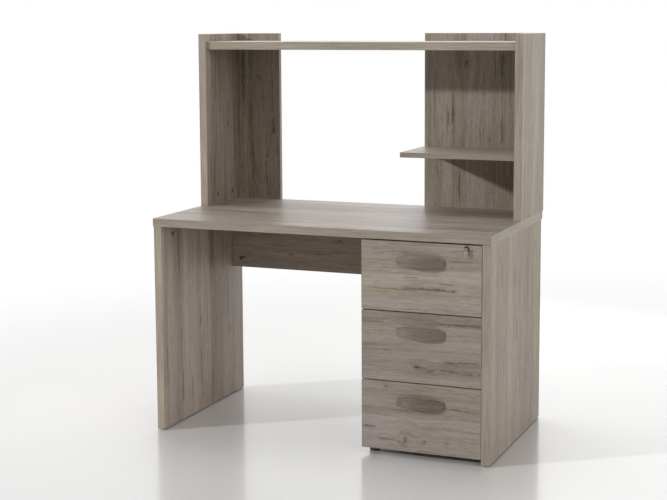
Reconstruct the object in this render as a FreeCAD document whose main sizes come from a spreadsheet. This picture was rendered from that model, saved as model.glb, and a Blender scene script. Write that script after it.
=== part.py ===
import FreeCAD, Part
import Sketcher
import math
import os
import re

# Student desk with a hutch: a worktop on two side panels, a three-drawer pedestal on the right and an
# open hutch on top. It is flat-pack furniture in particle board with a wood decor, 28 mm thick where it
# carries load and 18 mm elsewhere. Cam fittings draw the boards together and dowels line them up. Each
# drawer runs on a pair of roller runners, and the top drawer has a lever lock with a folding key.
#
# Frame: +X to the right, +Y to the wall, +Z up. The origin is on the floor, at the centre of the whole
# object's footprint. All sizes are in millimetres.

SIZES = {
    # boards
    "board": 28,  # worktop, side panels, hutch sides and top shelf
    "thin_board": 18,  # drawer fronts, pedestal, hutch backs, small shelf and modesty panel
    "back_sheet": 3,  # hardboard behind the pedestal
    "edge_round": 0.8,  # radius of the boards' lipped edges
    "cut_margin": 1,  # how far a cut runs past the end of a piece
    # desk
    "worktop_width": 1210,
    "worktop_depth": 650,
    "desk_height": 750,
    "side_inset": 1.5,  # worktop past the side panels
    "front_inset": 3,  # worktop past the front of the side panels
    "rear_overhang": 10,  # worktop past the rear of the side panels
    "modesty_height": 226,
    "modesty_inset": 65,  # modesty panel ahead of the rear of the side panels
    "glide_height": 3,
    "glide_width": 20,
    "glide_inset": 45,
    "nail_width": 2.4,
    "nail_length": 16,
    # pedestal
    "pedestal_width": 410,  # from its side's outer face to the right side panel
    "foot_height": 25,
    "foot_width": 36,
    "foot_front_inset": 35,  # from the pedestal's front edge
    "foot_rear_inset": 60,
    "foot_side_inset": 10,
    "foot_screw_width": 4,
    "foot_screw_length": 14,
    # hutch
    "hutch_height": 628,
    "hutch_depth": 300,
    "hutch_overhang": 11,  # hutch sides past the rear of the worktop
    "shelf_drop": 28,  # from the top of the hutch sides down to the top shelf
    "shelf_setback": 10,  # front of the hutch sides to the front of the top shelf
    "left_back_width": 169,
    "right_back_width": 409,
    "back_inset": 7,  # from the backs to the rear of the hutch sides
    "small_shelf_length": 413,
    "small_shelf_depth": 256,
    "small_shelf_height": 219,  # its top above the worktop
    # drawers
    "floor_gap": 22,
    "top_gap": 4,
    "drawer_gap": 3,
    "front_side_gap": 0.8,
    "front_clearance": 1,  # between a closed front and the pedestal's front edges
    "box_board": 12,
    "box_lift": 40,  # drawer box above the bottom of its front
    "box_drop": 40,  # drawer box below the top of its front
    "box_rear_gap": 116,  # behind the drawer box
    "bottom_sheet": 3,
    "bottom_lift": 10,  # bottom sheet above the lower edge of the box
    "groove_depth": 6,
    "groove_play": 0.2,
    # runners, on each side of a drawer
    "runner_gap": 12.5,  # between the pedestal's wall and the drawer box
    "runner_steel": 1.2,
    "runner_setback": 2,  # runners behind the drawer front
    "runner_clearance": 1,  # between the channel and the drawer's rail
    "runner_lip": 9,  # rail's lip under the drawer box
    "flange_clearance": 1.5,  # between the rail's flange and the top of the channel
    "roller_width": 20,
    "roller_face": 6,
    "roller_play": 0.3,
    "roller_inset": 16,  # roller's axis from the end of its runner
    "flange_cutback": 30,  # flanges stop this far from the roller's end
    "axle_width": 5,
    "axle_play": 0.1,
    "axle_head_width": 8,
    "axle_head": 0.9,
    # handles
    "handle_length": 162,
    "handle_height": 22,  # at its square ends
    "handle_arch": 11,  # rise of the upper edge over its ends
    "handle_belly": 5,  # drop of the lower edge below its ends
    "handle_reach": 28,
    "handle_end": 4,  # depth of the bow's square ends
    "handle_opening": 112,
    "handle_thickness": 5.5,  # at the middle of the bow
    "handle_drop": 65,  # handle's screws below the top of its front
    "handle_round": 1.2,
    "screw_centres": 128,
    "screw_width": 4,
    "screw_bite": 7,
    "screw_head_width": 8,
    "screw_head": 2.5,
    "screw_play": 0.2,
    # lock and key
    "case_width": 16,
    "rosette_width": 20,
    "rosette": 2,
    "case_tail": 4,  # lock case past the back of the drawer front
    "case_play": 0.2,
    "lock_inset": 51.7,  # lock's axis from the right end of the front
    "lock_drop": 12,  # lock's axis below the top of the front
    "plug_width": 11,
    "plug_play": 0.1,
    "plug_head": 1,
    "tail_width": 6,
    "tail_head_width": 9,
    "tail_head": 2,
    "lever_reach": 14.5,
    "lever_width": 9,
    "lever_hub_width": 13,
    "lever_steel": 2,
    "lever_play": 0.3,
    "strike_steel": 1.5,
    "strike_length": 34,
    "strike_flange": 14,
    "strike_gap": 1,  # between the drawer front and the strike
    "strike_clearance": 1.5,  # between the lock case and the strike
    "blade_width": 7,
    "blade_steel": 2,
    "blade_bite": 16,
    "key_play": 0.15,
    "key_reach": 7,  # key's hinge ahead of the plug
    "knuckle_width": 5,
    "knuckle_length": 5,
    "knuckle_play": 0.3,
    "hinge_pin": 2,
    "bow_width": 14,
    "bow_length": 24,
    "bow_steel": 2,
    "bow_hole": 5,
    "bow_hole_inset": 6,  # hole's middle from the bow's end
    # cam fittings and dowels
    "cam_width": 15,
    "cam_height": 12.5,
    "cam_bore": 13.2,
    "cam_recess": 0.2,
    "cam_inset": 35,  # cam's axis from the joint
    "cam_play": 0.1,
    "cam_slot": 1.6,
    "cam_slot_length": 9,
    "cam_slot_depth": 2.5,
    "bolt_depth": 9,  # bolt's axis below the board's surface
    "bolt_width": 6,
    "bolt_bite": 11,
    "dowel_width": 8,
    "dowel_length": 30,
    "dowel_bite": 11,
    "fitting_play": 0.15,
    "dowel_room": 1,
    "dowel_pitch": 32,  # from a cam to its dowel
    "long_edge": 84,  # first cam from the end of a long joint
    "rear_edge": 130,  # last cam from the rear of the panels under the worktop
    "short_edge": 34,  # cams from the ends of a short joint
}

doc = FreeCAD.newDocument("student_desk")
sheet = doc.addObject("Spreadsheet::Sheet", "Sizes")
for row, (alias, size) in enumerate(SIZES.items(), start=1):
    sheet.set(f"A{row}", alias)
    sheet.set(f"B{row}", str(size))
    sheet.setAlias(f"B{row}", alias)
doc.recompute()


# ------------------------------------------------------------------ places worked out from the sizes
LEFT, RIGHT = "(-worktop_width/2)", "(worktop_width/2)"
FRONT = "((handle_reach - front_inset - worktop_depth - hutch_overhang)/2)"
REAR = f"({FRONT} + worktop_depth)"
UNDERSIDE = "(desk_height - board)"
PANEL_LEFT, PANEL_RIGHT = f"({LEFT} + side_inset)", f"({RIGHT} - side_inset)"
INNER_LEFT, INNER_RIGHT = f"({PANEL_LEFT} + board)", f"({PANEL_RIGHT} - board)"
PANEL_FRONT, PANEL_REAR = f"({FRONT} + front_inset)", f"({REAR} - rear_overhang)"
MODESTY_FRONT = f"({PANEL_REAR} - modesty_inset - thin_board)"
MODESTY_BOTTOM = f"({UNDERSIDE} - modesty_height)"

PEDESTAL_LEFT = f"({INNER_RIGHT} - pedestal_width)"
PEDESTAL_INNER = f"({PEDESTAL_LEFT} + thin_board)"
FRONT_BACK = f"({PANEL_FRONT} + thin_board)"
PEDESTAL_FRONT = f"({FRONT_BACK} + front_clearance)"
PEDESTAL_REAR = f"({PANEL_REAR} - back_sheet)"

HUTCH_REAR = f"({REAR} + hutch_overhang)"
HUTCH_FRONT = f"({HUTCH_REAR} - hutch_depth)"
HUTCH_LEFT, HUTCH_RIGHT = f"({LEFT} + board)", f"({RIGHT} - board)"
HUTCH_TOP = "(desk_height + hutch_height)"
BACK_FRONT = f"({HUTCH_REAR} - back_inset - thin_board)"
SHELF_BOTTOM = f"({HUTCH_TOP} - shelf_drop - board)"
SHELF_FRONT = f"({HUTCH_FRONT} + shelf_setback)"
SMALL_SHELF_BOTTOM = "(desk_height + small_shelf_height - thin_board)"
SMALL_SHELF_LEFT = f"({HUTCH_RIGHT} - small_shelf_length)"
SMALL_SHELF_FRONT = f"({BACK_FRONT} - small_shelf_depth)"
LEFT_BACK_RIGHT = f"({HUTCH_LEFT} + left_back_width)"
RIGHT_BACK_LEFT = f"({HUTCH_RIGHT} - right_back_width)"

FRONT_HEIGHT = f"(({UNDERSIDE} - top_gap - floor_gap - 2*drawer_gap)/3)"
FRONT_MIDDLE = f"({PEDESTAL_LEFT} + (pedestal_width - front_side_gap)/2)"
FRONT_RIGHT = f"({INNER_RIGHT} - front_side_gap)"
BOX_LEFT, BOX_RIGHT = f"({PEDESTAL_INNER} + runner_gap)", f"({INNER_RIGHT} - runner_gap)"
BOX_REAR = f"({PEDESTAL_REAR} - box_rear_gap)"
BOX_HEIGHT = f"({FRONT_HEIGHT} - box_lift - box_drop)"
RUNNER_FRONT = f"({FRONT_BACK} + runner_setback)"
RUNNER_REAR = f"({BOX_REAR} - runner_setback)"
RUNNER_LENGTH = f"({RUNNER_REAR} - {RUNNER_FRONT})"
CHANNEL_HEIGHT = "(roller_width + 2*roller_play + 2*runner_steel)"
CHANNEL_REACH = "(runner_gap - runner_steel - runner_clearance)"
ROLLER_SIDE = "((runner_gap - roller_face)/2)"
FLANGE_TOP = f"({CHANNEL_HEIGHT} - runner_steel - flange_clearance)"
FRONT_ROLLER_Z = f"({FLANGE_TOP} - runner_steel - roller_play - roller_width/2)"
REAR_ROLLER_Z = "(runner_steel + roller_play + roller_width/2)"

LOCK_X = f"({FRONT_RIGHT} - lock_inset)"
LOCK_Z = f"({UNDERSIDE} - top_gap - lock_drop)"
PLUG_FRONT = f"({PANEL_FRONT} - rosette - plug_head)"
CASE_REAR = f"({FRONT_BACK} + case_tail)"
LEVER_FRONT = f"({CASE_REAR} + lever_play)"
HINGE_Y = f"({PLUG_FRONT} - key_reach)"

LEVELS = {"bottom": 0, "middle": 1, "top": 2}


def front_bottom(level):
    return f"(floor_gap + {LEVELS[level]}*({FRONT_HEIGHT} + drawer_gap))"


# ------------------------------------------------------------------ expressions
def sized(text):
    """The expression text with each size read from the spreadsheet."""
    return re.sub(r"[a-z_]+", lambda word: f"Sizes.{word[0]}" if word[0] in SIZES else word[0], str(text))


def number(text):
    """What an expression comes to, in millimetres."""
    return float(sheet.evalExpression(sized(text)))


def bind(thing, **values):
    """Ties properties of an object to the sizes. A double underscore stands for a dot."""
    for name, text in values.items():
        thing.setExpression(name.replace("__", "."), sized(text))


X, Y, Z = FreeCAD.Vector(1, 0, 0), FreeCAD.Vector(0, 1, 0), FreeCAD.Vector(0, 0, 1)
DIRECTIONS = {"-x": -X, "+x": X, "-y": -Y, "+y": Y, "-z": -Z, "+z": Z}
OPPOSITE = {"-x": "+x", "+x": "-x", "-y": "+y", "+y": "-y", "-z": "+z", "+z": "-z"}


def place(thing, x, y, z, facing="+z"):
    """Puts an object's origin at a point and turns its +Z to a direction."""
    point = FreeCAD.Vector(number(x), number(y), number(z))
    thing.Placement = FreeCAD.Placement(point, FreeCAD.Rotation(Z, DIRECTIONS[facing]))
    bind(thing, Placement__Base__x=x, Placement__Base__y=y, Placement__Base__z=z)


# ------------------------------------------------------------------ bodies, sketches and features
NODES = {}


def new_body(label, x, y, z, facing="+z", is_node=True):
    body = doc.addObject("PartDesign::Body", label)
    body.Label = label
    place(body, x, y, z, facing)
    if is_node:
        NODES[label] = body
    return body


def new_sketch(body, plane, offset="0"):
    """A sketch on one of the body's own origin planes, moved along the plane's normal."""
    sketch = body.newObject("Sketcher::SketchObject", body.Name + "_sketch")
    origin_plane = next(feature for feature in body.Origin.OriginFeatures if feature.Role == plane)
    sketch.AttachmentSupport = [(origin_plane, "")]
    sketch.MapMode = "FlatFace"
    bind(sketch, AttachmentOffset__Base__z=offset)
    return sketch


def dimension(sketch, kind, *where, size):
    """A driving dimension of a sketch."""
    index = sketch.addConstraint(Sketcher.Constraint(kind, *where, number(size)))
    sketch.setExpression(f"Constraints[{index}]", sized(size))


def locate(sketch, element, point, u, v):
    """Fixes a point of a sketch by its two distances from the sketch's origin."""
    dimension(sketch, "DistanceX", -1, 1, element, point, size=u)
    dimension(sketch, "DistanceY", -1, 1, element, point, size=v)


def draw_side(sketch, start, end, bend):
    """One side of an outline: a line, or an arc through bend. Returns its element and its two end points."""
    if bend is None:
        return sketch.addGeometry(Part.LineSegment(start, end)), 1, 2
    centre = Part.Arc(start, bend, end).toShape().Curve.Center
    clockwise = (bend - start).cross(end - bend).z < 0
    first, last = (end, start) if clockwise else (start, end)
    angles = [math.atan2(point.y - centre.y, point.x - centre.x) for point in (first, last)]
    circle = Part.Circle(centre, Z, (start - centre).Length)
    element = sketch.addGeometry(Part.ArcOfCircle(circle, angles[0], angles[1] % (2*math.pi)))
    return (element, 2, 1) if clockwise else (element, 1, 2)


def draw_outline(sketch, corners, arcs=None):
    """A closed outline through dimensioned corners.

    arcs maps a side's number to (u, v, centre_v): the side bends through (u, v) about a centre at centre_v.
    """
    arcs = arcs or {}
    points = [FreeCAD.Vector(number(u), number(v), 0) for u, v in corners]
    sides = []
    for index, start in enumerate(points):
        bend = FreeCAD.Vector(number(arcs[index][0]), number(arcs[index][1]), 0) if index in arcs else None
        sides.append(draw_side(sketch, start, points[(index + 1) % len(points)], bend))
    for (element, _, end), (following, start, _) in zip(sides, sides[1:] + sides[:1]):
        sketch.addConstraint(Sketcher.Constraint("Coincident", element, end, following, start))
    for (element, start, _), (u, v) in zip(sides, corners):
        locate(sketch, element, start, u, v)
    for index, (_, _, centre_v) in arcs.items():
        dimension(sketch, "DistanceY", -1, 1, sides[index][0], 3, size=centre_v)


def draw_rectangle(sketch, u0, v0, u1, v1):
    """A rectangle from two opposite corners."""
    draw_outline(sketch, [(u0, v0), (u1, v0), (u1, v1), (u0, v1)])


def draw_circle(sketch, u, v, width):
    circle = Part.Circle(FreeCAD.Vector(number(u), number(v), 0), Z, number(width)/2)
    element = sketch.addGeometry(circle)
    locate(sketch, element, 3, u, v)
    dimension(sketch, "Diameter", element, size=width)


def pad(body, sketch, length, backwards=False, midplane=False):
    """Thickens a sketch along its plane's normal, or the other way, or both ways."""
    feature = body.newObject("PartDesign::Pad", body.Name + "_pad")
    feature.Profile = sketch
    feature.Midplane = midplane
    feature.Reversed = backwards
    bind(feature, Length=length)
    return feature


def pocket(body, sketch, depth=None, backwards=False, midplane=False):
    """Cuts a sketch to a depth against its plane's normal, or the other way. No depth cuts right through."""
    feature = body.newObject("PartDesign::Pocket", body.Name + "_pocket")
    feature.Profile = sketch
    feature.Midplane = midplane
    feature.Reversed = backwards
    if depth is None:
        feature.Type = "ThroughAll"
    else:
        bind(feature, Length=depth)
    return feature


def round_edges(body, feature, radius, chosen=lambda edge: True):
    """Rounds the edges of a body's last feature that chosen accepts."""
    doc.recompute()
    names = [f"Edge{n}" for n, edge in enumerate(feature.Shape.Edges, start=1) if chosen(edge)]
    fillet = body.newObject("PartDesign::Fillet", body.Name + "_rounding")
    fillet.Base = (feature, names)
    bind(fillet, Radius=radius)


def turned(label, profile, x, y, z, facing="+z"):
    """A round piece: its half profile, as (radius, height) corners, turned about its axis."""
    body = new_body(label, x, y, z, facing)
    sketch = new_sketch(body, "XZ_Plane")
    draw_outline(sketch, profile)
    feature = body.newObject("PartDesign::Revolution", label + "_turning")
    feature.Profile = sketch
    feature.ReferenceAxis = (sketch, ["V_Axis"])
    feature.Angle = 360
    return body


# ------------------------------------------------------------------ boards and the holes in them
CORNER, EXTENT, HOLES, FITTINGS = {}, {}, {}, {"cam": [], "bolt": [], "dowel": []}

# Each side of a board: its body's plane, the axis it faces, the two axes in it, and whether a cut from
# it runs along the plane's normal.
SIDES = {
    "-x": ("YZ_Plane", 0, (1, 2), True), "+x": ("YZ_Plane", 0, (1, 2), False),
    "-y": ("XZ_Plane", 1, (0, 2), False), "+y": ("XZ_Plane", 1, (0, 2), True),
    "-z": ("XY_Plane", 2, (0, 1), True), "+z": ("XY_Plane", 2, (0, 1), False),
}


def board(label, corner, extent, lipped=True):
    """A flat board from its lowest corner and its extent along X, Y and Z."""
    body = new_body(label, *corner)
    CORNER[label], EXTENT[label] = corner, extent
    sketch = new_sketch(body, "XY_Plane")
    draw_rectangle(sketch, "0", "0", extent[0], extent[1])
    blank = pad(body, sketch, extent[2])
    if lipped:
        round_edges(body, blank, "edge_round")
    return body


def surface(label, side):
    """Where a side of a board lies along the axis it faces."""
    axis = SIDES[side][1]
    return f"({CORNER[label][axis]} + {EXTENT[label][axis]})" if side[0] == "+" else CORNER[label][axis]


def sketch_on(label, side):
    """A sketch on a side of a board."""
    plane, axis, _, _ = SIDES[side]
    height = EXTENT[label][axis] if side[0] == "+" else "0"
    return new_sketch(doc.getObject(label), plane, f"-({height})" if plane == "XZ_Plane" else height)


def on_board(label, side, u, v):
    """A point in the desk's frame as it lies on a side of a board."""
    first, second = SIDES[side][2]
    return f"({u}) - ({CORNER[label][first]})", f"({v}) - ({CORNER[label][second]})"


def bore(label, side, point, width, depth=None):
    """Notes a round hole to drill in a side of a board, at a point (x, y, z) of the desk's frame."""
    first, second = SIDES[side][2]
    hole = (*on_board(label, side, point[first], point[second]), width)
    HOLES.setdefault((label, side, depth), []).append(hole)


def drill_boards():
    """Drills every noted hole, those of one side and depth together."""
    for (label, side, depth), holes in HOLES.items():
        sketch = sketch_on(label, side)
        for u, v, width in holes:
            draw_circle(sketch, u, v, width)
        pocket(doc.getObject(label), sketch, depth, backwards=SIDES[side][3])


def groove(label, side, low, high, depth):
    """A rectangular groove in a side of a board, between two (u, v) points of the desk's frame."""
    sketch = sketch_on(label, side)
    draw_rectangle(sketch, *on_board(label, side, *low), *on_board(label, side, *high))
    pocket(doc.getObject(label), sketch, depth, backwards=SIDES[side][3])


def fasten(edge_board, cam_side, into, towards, cams, dowels):
    """Joins a board's edge to another board's face with cam fittings and dowels.

    The edge faces towards the other board, and the cams are let into cam_side of the edge board. cams and
    dowels are the places along the joint.
    """
    run, across = SIDES[towards][1], SIDES[cam_side][1]
    along = 3 - run - across
    meet = surface(edge_board, towards)
    inward = "+" if cam_side[0] == "-" else "-"
    backward = "+" if towards[0] == "-" else "-"
    middle = f"({surface(edge_board, cam_side)} {inward} bolt_depth)"
    for spot in cams:
        point = [None, None, None]
        point[run], point[across], point[along] = meet, middle, spot
        seat = list(point)
        seat[run], seat[across] = f"({meet} {backward} cam_inset)", surface(edge_board, cam_side)
        bore(edge_board, cam_side, seat, "cam_width + 2*cam_play", "cam_bore")
        bore(edge_board, towards, point, "bolt_width + 2*fitting_play", "cam_inset")
        bore(into, OPPOSITE[towards], point, "bolt_width + 2*fitting_play", "bolt_bite + fitting_play")
        FITTINGS["cam"].append((seat, cam_side))
        FITTINGS["bolt"].append((point, towards))
    for spot in dowels:
        point = [None, None, None]
        point[run], point[across], point[along] = meet, middle, spot
        width = "dowel_width + 2*fitting_play"
        bore(edge_board, towards, point, width, "dowel_length - dowel_bite + dowel_room")
        bore(into, OPPOSITE[towards], point, width, "dowel_bite + fitting_play")
        FITTINGS["dowel"].append((point, towards))


def between(low, high, edge, far_edge=None):
    """Cams and dowels along a joint: a cam near each end, and a dowel beside each cam."""
    cams = (f"({low} + {edge})", f"({high} - {far_edge or edge})")
    return cams, (f"({cams[0]} + dowel_pitch)", f"({cams[1]} - dowel_pitch)")


# ------------------------------------------------------------------ loose pieces in groups
def rod(width, start, length):
    """A cylinder along its own Z from start."""
    piece = doc.addObject("Part::Cylinder", "rod")
    bind(piece, Radius=f"({width})/2", Height=length, Placement__Base__z=start)
    return piece


def joined(kind, base, tool):
    """A Part::Cut or Part::Fuse of two pieces."""
    piece = doc.addObject(kind, "joined")
    piece.Base = base
    piece.Tool = tool
    return piece


def cam():
    """A cam: a short drum with a slot for the screwdriver."""
    slot = doc.addObject("Part::Box", "slot")
    bind(slot, Length="cam_slot_length", Width="cam_slot", Height="cam_slot_depth + cam_recess")
    bind(slot, Placement__Base__x="-cam_slot_length/2", Placement__Base__y="-cam_slot/2")
    bind(slot, Placement__Base__z="-(cam_slot_depth + cam_recess)")
    return joined("Part::Cut", rod("cam_width", "-(cam_recess + cam_height)", "cam_height"), slot)


def bolt():
    """A cam bolt, from its hole in one board to the cam in the other."""
    reach = "(cam_inset - cam_width/2 - cam_play)"
    return rod("bolt_width", f"-{reach}", f"{reach} + bolt_bite")


def dowel():
    return rod("dowel_width", "-(dowel_length - dowel_bite)", "dowel_length")


def studded(width, height, stud_width, stud_length):
    """A round foot with a nail or screw that stands up from it."""
    return joined("Part::Fuse", rod(width, "0", height), rod(stud_width, height, stud_length))


def ring(width, hole, length):
    """A roller with its bore."""
    return joined("Part::Cut", rod(width, "0", length), rod(hole, "0", length))


def handle_screw():
    """A screw through a drawer front: its head lies at the back and its shank points along +Z."""
    head = rod("screw_head_width", "-screw_head", "screw_head")
    return joined("Part::Fuse", head, rod("screw_width", "0", "thin_board + screw_bite"))


def together(label, pieces):
    """A node of several separate pieces."""
    node = doc.addObject("Part::Compound", label)
    node.Label = label
    node.Links = pieces
    NODES[label] = node


def group(label, make, places):
    """A node of identical loose pieces. places lists ((x, y, z), facing)."""
    holders = []
    for point, facing in places:
        holder = doc.addObject("Part::Compound", "holder")
        holder.Links = [make()]
        place(holder, *point, facing)
        holders.append(holder)
    together(label, holders)


# ------------------------------------------------------------------ desk
def desk_boards():
    panel_depth = f"({PANEL_REAR} - {PANEL_FRONT})"
    panel_height = f"({UNDERSIDE} - glide_height)"
    board("worktop", (LEFT, FRONT, UNDERSIDE), ("worktop_width", "worktop_depth", "board"))
    for label, x in (("left_side_panel", PANEL_LEFT), ("right_side_panel", INNER_RIGHT)):
        board(label, (x, PANEL_FRONT, "glide_height"), ("board", panel_depth, panel_height))
    board("modesty_panel", (INNER_LEFT, MODESTY_FRONT, MODESTY_BOTTOM),
          (f"({PEDESTAL_LEFT} - {INNER_LEFT})", "thin_board", "modesty_height"))


def pedestal_boards():
    depth = f"({PEDESTAL_REAR} - {PEDESTAL_FRONT})"
    height = f"({UNDERSIDE} - foot_height)"
    board("pedestal_side_panel", (PEDESTAL_LEFT, PEDESTAL_FRONT, "foot_height"),
          ("thin_board", depth, height))
    board("pedestal_bottom_panel", (PEDESTAL_INNER, PEDESTAL_FRONT, "foot_height"),
          ("pedestal_width - thin_board", depth, "thin_board"))
    board("pedestal_back_panel", (PEDESTAL_LEFT, PEDESTAL_REAR, "foot_height"),
          ("pedestal_width", "back_sheet", height), lipped=False)


def hutch_boards():
    for label, x in (("hutch_left_side", LEFT), ("hutch_right_side", HUTCH_RIGHT)):
        board(label, (x, HUTCH_FRONT, "desk_height"), ("board", "hutch_depth", "hutch_height"))
    board("hutch_top_shelf", (HUTCH_LEFT, SHELF_FRONT, SHELF_BOTTOM),
          ("worktop_width - 2*board", f"({BACK_FRONT} - {SHELF_FRONT})", "board"))
    for label, x, width in (("hutch_left_back", HUTCH_LEFT, "left_back_width"),
                            ("hutch_right_back", RIGHT_BACK_LEFT, "right_back_width")):
        board(label, (x, BACK_FRONT, "desk_height"), (width, "thin_board", "hutch_height"))
    board("hutch_small_shelf", (SMALL_SHELF_LEFT, SMALL_SHELF_FRONT, SMALL_SHELF_BOTTOM),
          ("small_shelf_length", "small_shelf_depth", "thin_board"))


def desk_joints():
    for label, cam_side in (("left_side_panel", "+x"), ("right_side_panel", "-x")):
        fasten(label, cam_side, "worktop", "+z", *between(PANEL_FRONT, PANEL_REAR, "long_edge", "rear_edge"))
    pedestal_run = between(PEDESTAL_FRONT, PEDESTAL_REAR, "long_edge", "rear_edge")
    fasten("pedestal_side_panel", "+x", "worktop", "+z", *pedestal_run)
    fasten("pedestal_bottom_panel", "-z", "pedestal_side_panel", "-x", *pedestal_run)
    fasten("pedestal_bottom_panel", "-z", "right_side_panel", "+x", *pedestal_run)
    modesty_run = between(MODESTY_BOTTOM, UNDERSIDE, "short_edge")
    fasten("modesty_panel", "-y", "left_side_panel", "-x", *modesty_run)
    fasten("modesty_panel", "-y", "pedestal_side_panel", "+x", *modesty_run)


def hutch_joints():
    side_run = between(HUTCH_FRONT, REAR, "long_edge")
    shelf_run = between(SHELF_FRONT, BACK_FRONT, "short_edge")
    small_run = between(SMALL_SHELF_FRONT, BACK_FRONT, "short_edge")
    back_run = between("desk_height", HUTCH_TOP, "long_edge")
    right_run = between(RIGHT_BACK_LEFT, HUTCH_RIGHT, "long_edge")
    left_spot = f"({LEFT_BACK_RIGHT} - long_edge)"
    for side, inward, outward in (("left", "+x", "-x"), ("right", "-x", "+x")):
        fasten(f"hutch_{side}_side", inward, "worktop", "-z", *side_run)
        fasten("hutch_top_shelf", "-z", f"hutch_{side}_side", outward, *shelf_run)
        fasten(f"hutch_{side}_back", "+y", f"hutch_{side}_side", outward, *back_run)
    fasten("hutch_small_shelf", "-z", "hutch_right_side", "+x", *small_run)
    fasten("hutch_small_shelf", "-z", "hutch_right_back", "+y", *right_run)
    fasten("hutch_top_shelf", "-z", "hutch_right_back", "+y", *right_run)
    fasten("hutch_top_shelf", "-z", "hutch_left_back", "+y", (left_spot,), (f"({left_spot} + dowel_pitch)",))


def feet():
    """Nailed glides under the side panels, and the feet that carry the pedestal's free side."""
    glides, pads = [], []
    for label in ("left_side_panel", "right_side_panel"):
        middle = f"({CORNER[label][0]} + board/2)"
        for y in (f"({PANEL_FRONT} + glide_inset)", f"({PANEL_REAR} - glide_inset)"):
            bore(label, "-z", (middle, y, "0"), "nail_width + 2*fitting_play", "nail_length + fitting_play")
            glides.append(((middle, y, "0"), "+z"))
    group("panel_glides", lambda: studded("glide_width", "glide_height", "nail_width", "nail_length"), glides)
    x = f"({PEDESTAL_LEFT} + foot_side_inset + foot_width/2)"
    for y in (f"({PEDESTAL_FRONT} + foot_front_inset)", f"({PEDESTAL_REAR} - foot_rear_inset)"):
        bore("pedestal_bottom_panel", "-z", (x, y, "0"),
             "foot_screw_width + 2*fitting_play", "foot_screw_length + fitting_play")
        pads.append(((x, y, "0"), "+z"))
    group("pedestal_feet",
          lambda: studded("foot_width", "foot_height", "foot_screw_width", "foot_screw_length"), pads)


# ------------------------------------------------------------------ runners
# hand is 1 on the left of a drawer and -1 on its right. Across a runner, sizes count from the wall.
HANDS = {"left": (1, PEDESTAL_INNER), "right": (-1, INNER_RIGHT)}


def axle(body, hand, start, end, head, y, z):
    """An axle with a head, across a runner from start to end and on to head."""
    for width, begin, finish in (("axle_width", start, end), ("axle_head_width", end, head)):
        sketch = new_sketch(body, "YZ_Plane", f"{hand}*({begin})")
        draw_circle(sketch, y, z, width)
        leftwards = hand*number(finish) < hand*number(begin)
        pad(body, sketch, f"abs(({finish}) - ({begin}))", backwards=leftwards)


def strip(label, is_node, side, z, profile, cut, cut_from, cut_to):
    """A runner's pressed profile along Y, with its flanges cut away between two distances from its front."""
    hand, wall = HANDS[side]
    body = new_body(label, wall, RUNNER_FRONT, z, is_node=is_node)
    sketch = new_sketch(body, "XZ_Plane")
    draw_outline(sketch, [(f"{hand}*({u})", v) for u, v in profile])
    pad(body, sketch, RUNNER_LENGTH, backwards=True)
    notch = new_sketch(body, "XY_Plane")
    draw_rectangle(notch, f"{hand}*({cut[0]})", cut_from, f"{hand}*({cut[1]})", cut_to)
    pocket(body, notch, "2*roller_width", backwards=True)
    return body


def channel(level, side):
    """The runner on the pedestal's wall: a channel with a roller's axle at its front."""
    steel, top, reach = "runner_steel", CHANNEL_HEIGHT, CHANNEL_REACH
    profile = [("0", "0"), (reach, "0"), (reach, steel), (steel, steel),
               (steel, f"({top} - {steel})"), (reach, f"({top} - {steel})"), (reach, top), ("0", top)]
    body = strip(f"{level}_{side}_channel", False, side, f"({front_bottom(level)} + box_lift)", profile,
                 (steel, f"({reach} + cut_margin)"), "-cut_margin", "flange_cutback")
    end = f"({ROLLER_SIDE} + roller_face + axle_play)"
    axle(body, HANDS[side][0], steel, end, f"({end} + axle_head)", "roller_inset", FRONT_ROLLER_Z)
    return body


def rail(level, side):
    """The runner under a drawer's side: an angled strip with a roller's axle at its rear."""
    steel, top, web = "runner_steel", FLANGE_TOP, "(runner_gap - runner_steel)"
    lip, rear = "(runner_gap + runner_lip)", RUNNER_LENGTH
    profile = [(web, f"-{steel}"), (lip, f"-{steel}"), (lip, "0"), ("runner_gap", "0"),
               ("runner_gap", top), (ROLLER_SIDE, top), (ROLLER_SIDE, f"({top} - {steel})"),
               (web, f"({top} - {steel})")]
    cut = (f"({ROLLER_SIDE} - cut_margin)", web)
    body = strip(f"{level}_drawer_{side}_rail", True, side, f"({front_bottom(level)} + box_lift)", profile,
                 cut, f"({rear} - flange_cutback)", f"({rear} + cut_margin)")
    end = f"({ROLLER_SIDE} - axle_play)"
    axle(body, HANDS[side][0], web, end, f"({end} - axle_head)", f"({rear} - roller_inset)", REAR_ROLLER_Z)
    return body


def rollers(label, level, y, z):
    """A pair of rollers in line, one at each side of a drawer."""
    height = f"({front_bottom(level)} + box_lift + {z})"
    places = [((f"({PEDESTAL_INNER} + {ROLLER_SIDE})", y, height), "+x"),
              ((f"({INNER_RIGHT} - {ROLLER_SIDE})", y, height), "-x")]
    group(label, lambda: ring("roller_width", "axle_width + 2*axle_play", "roller_face"), places)


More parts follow.
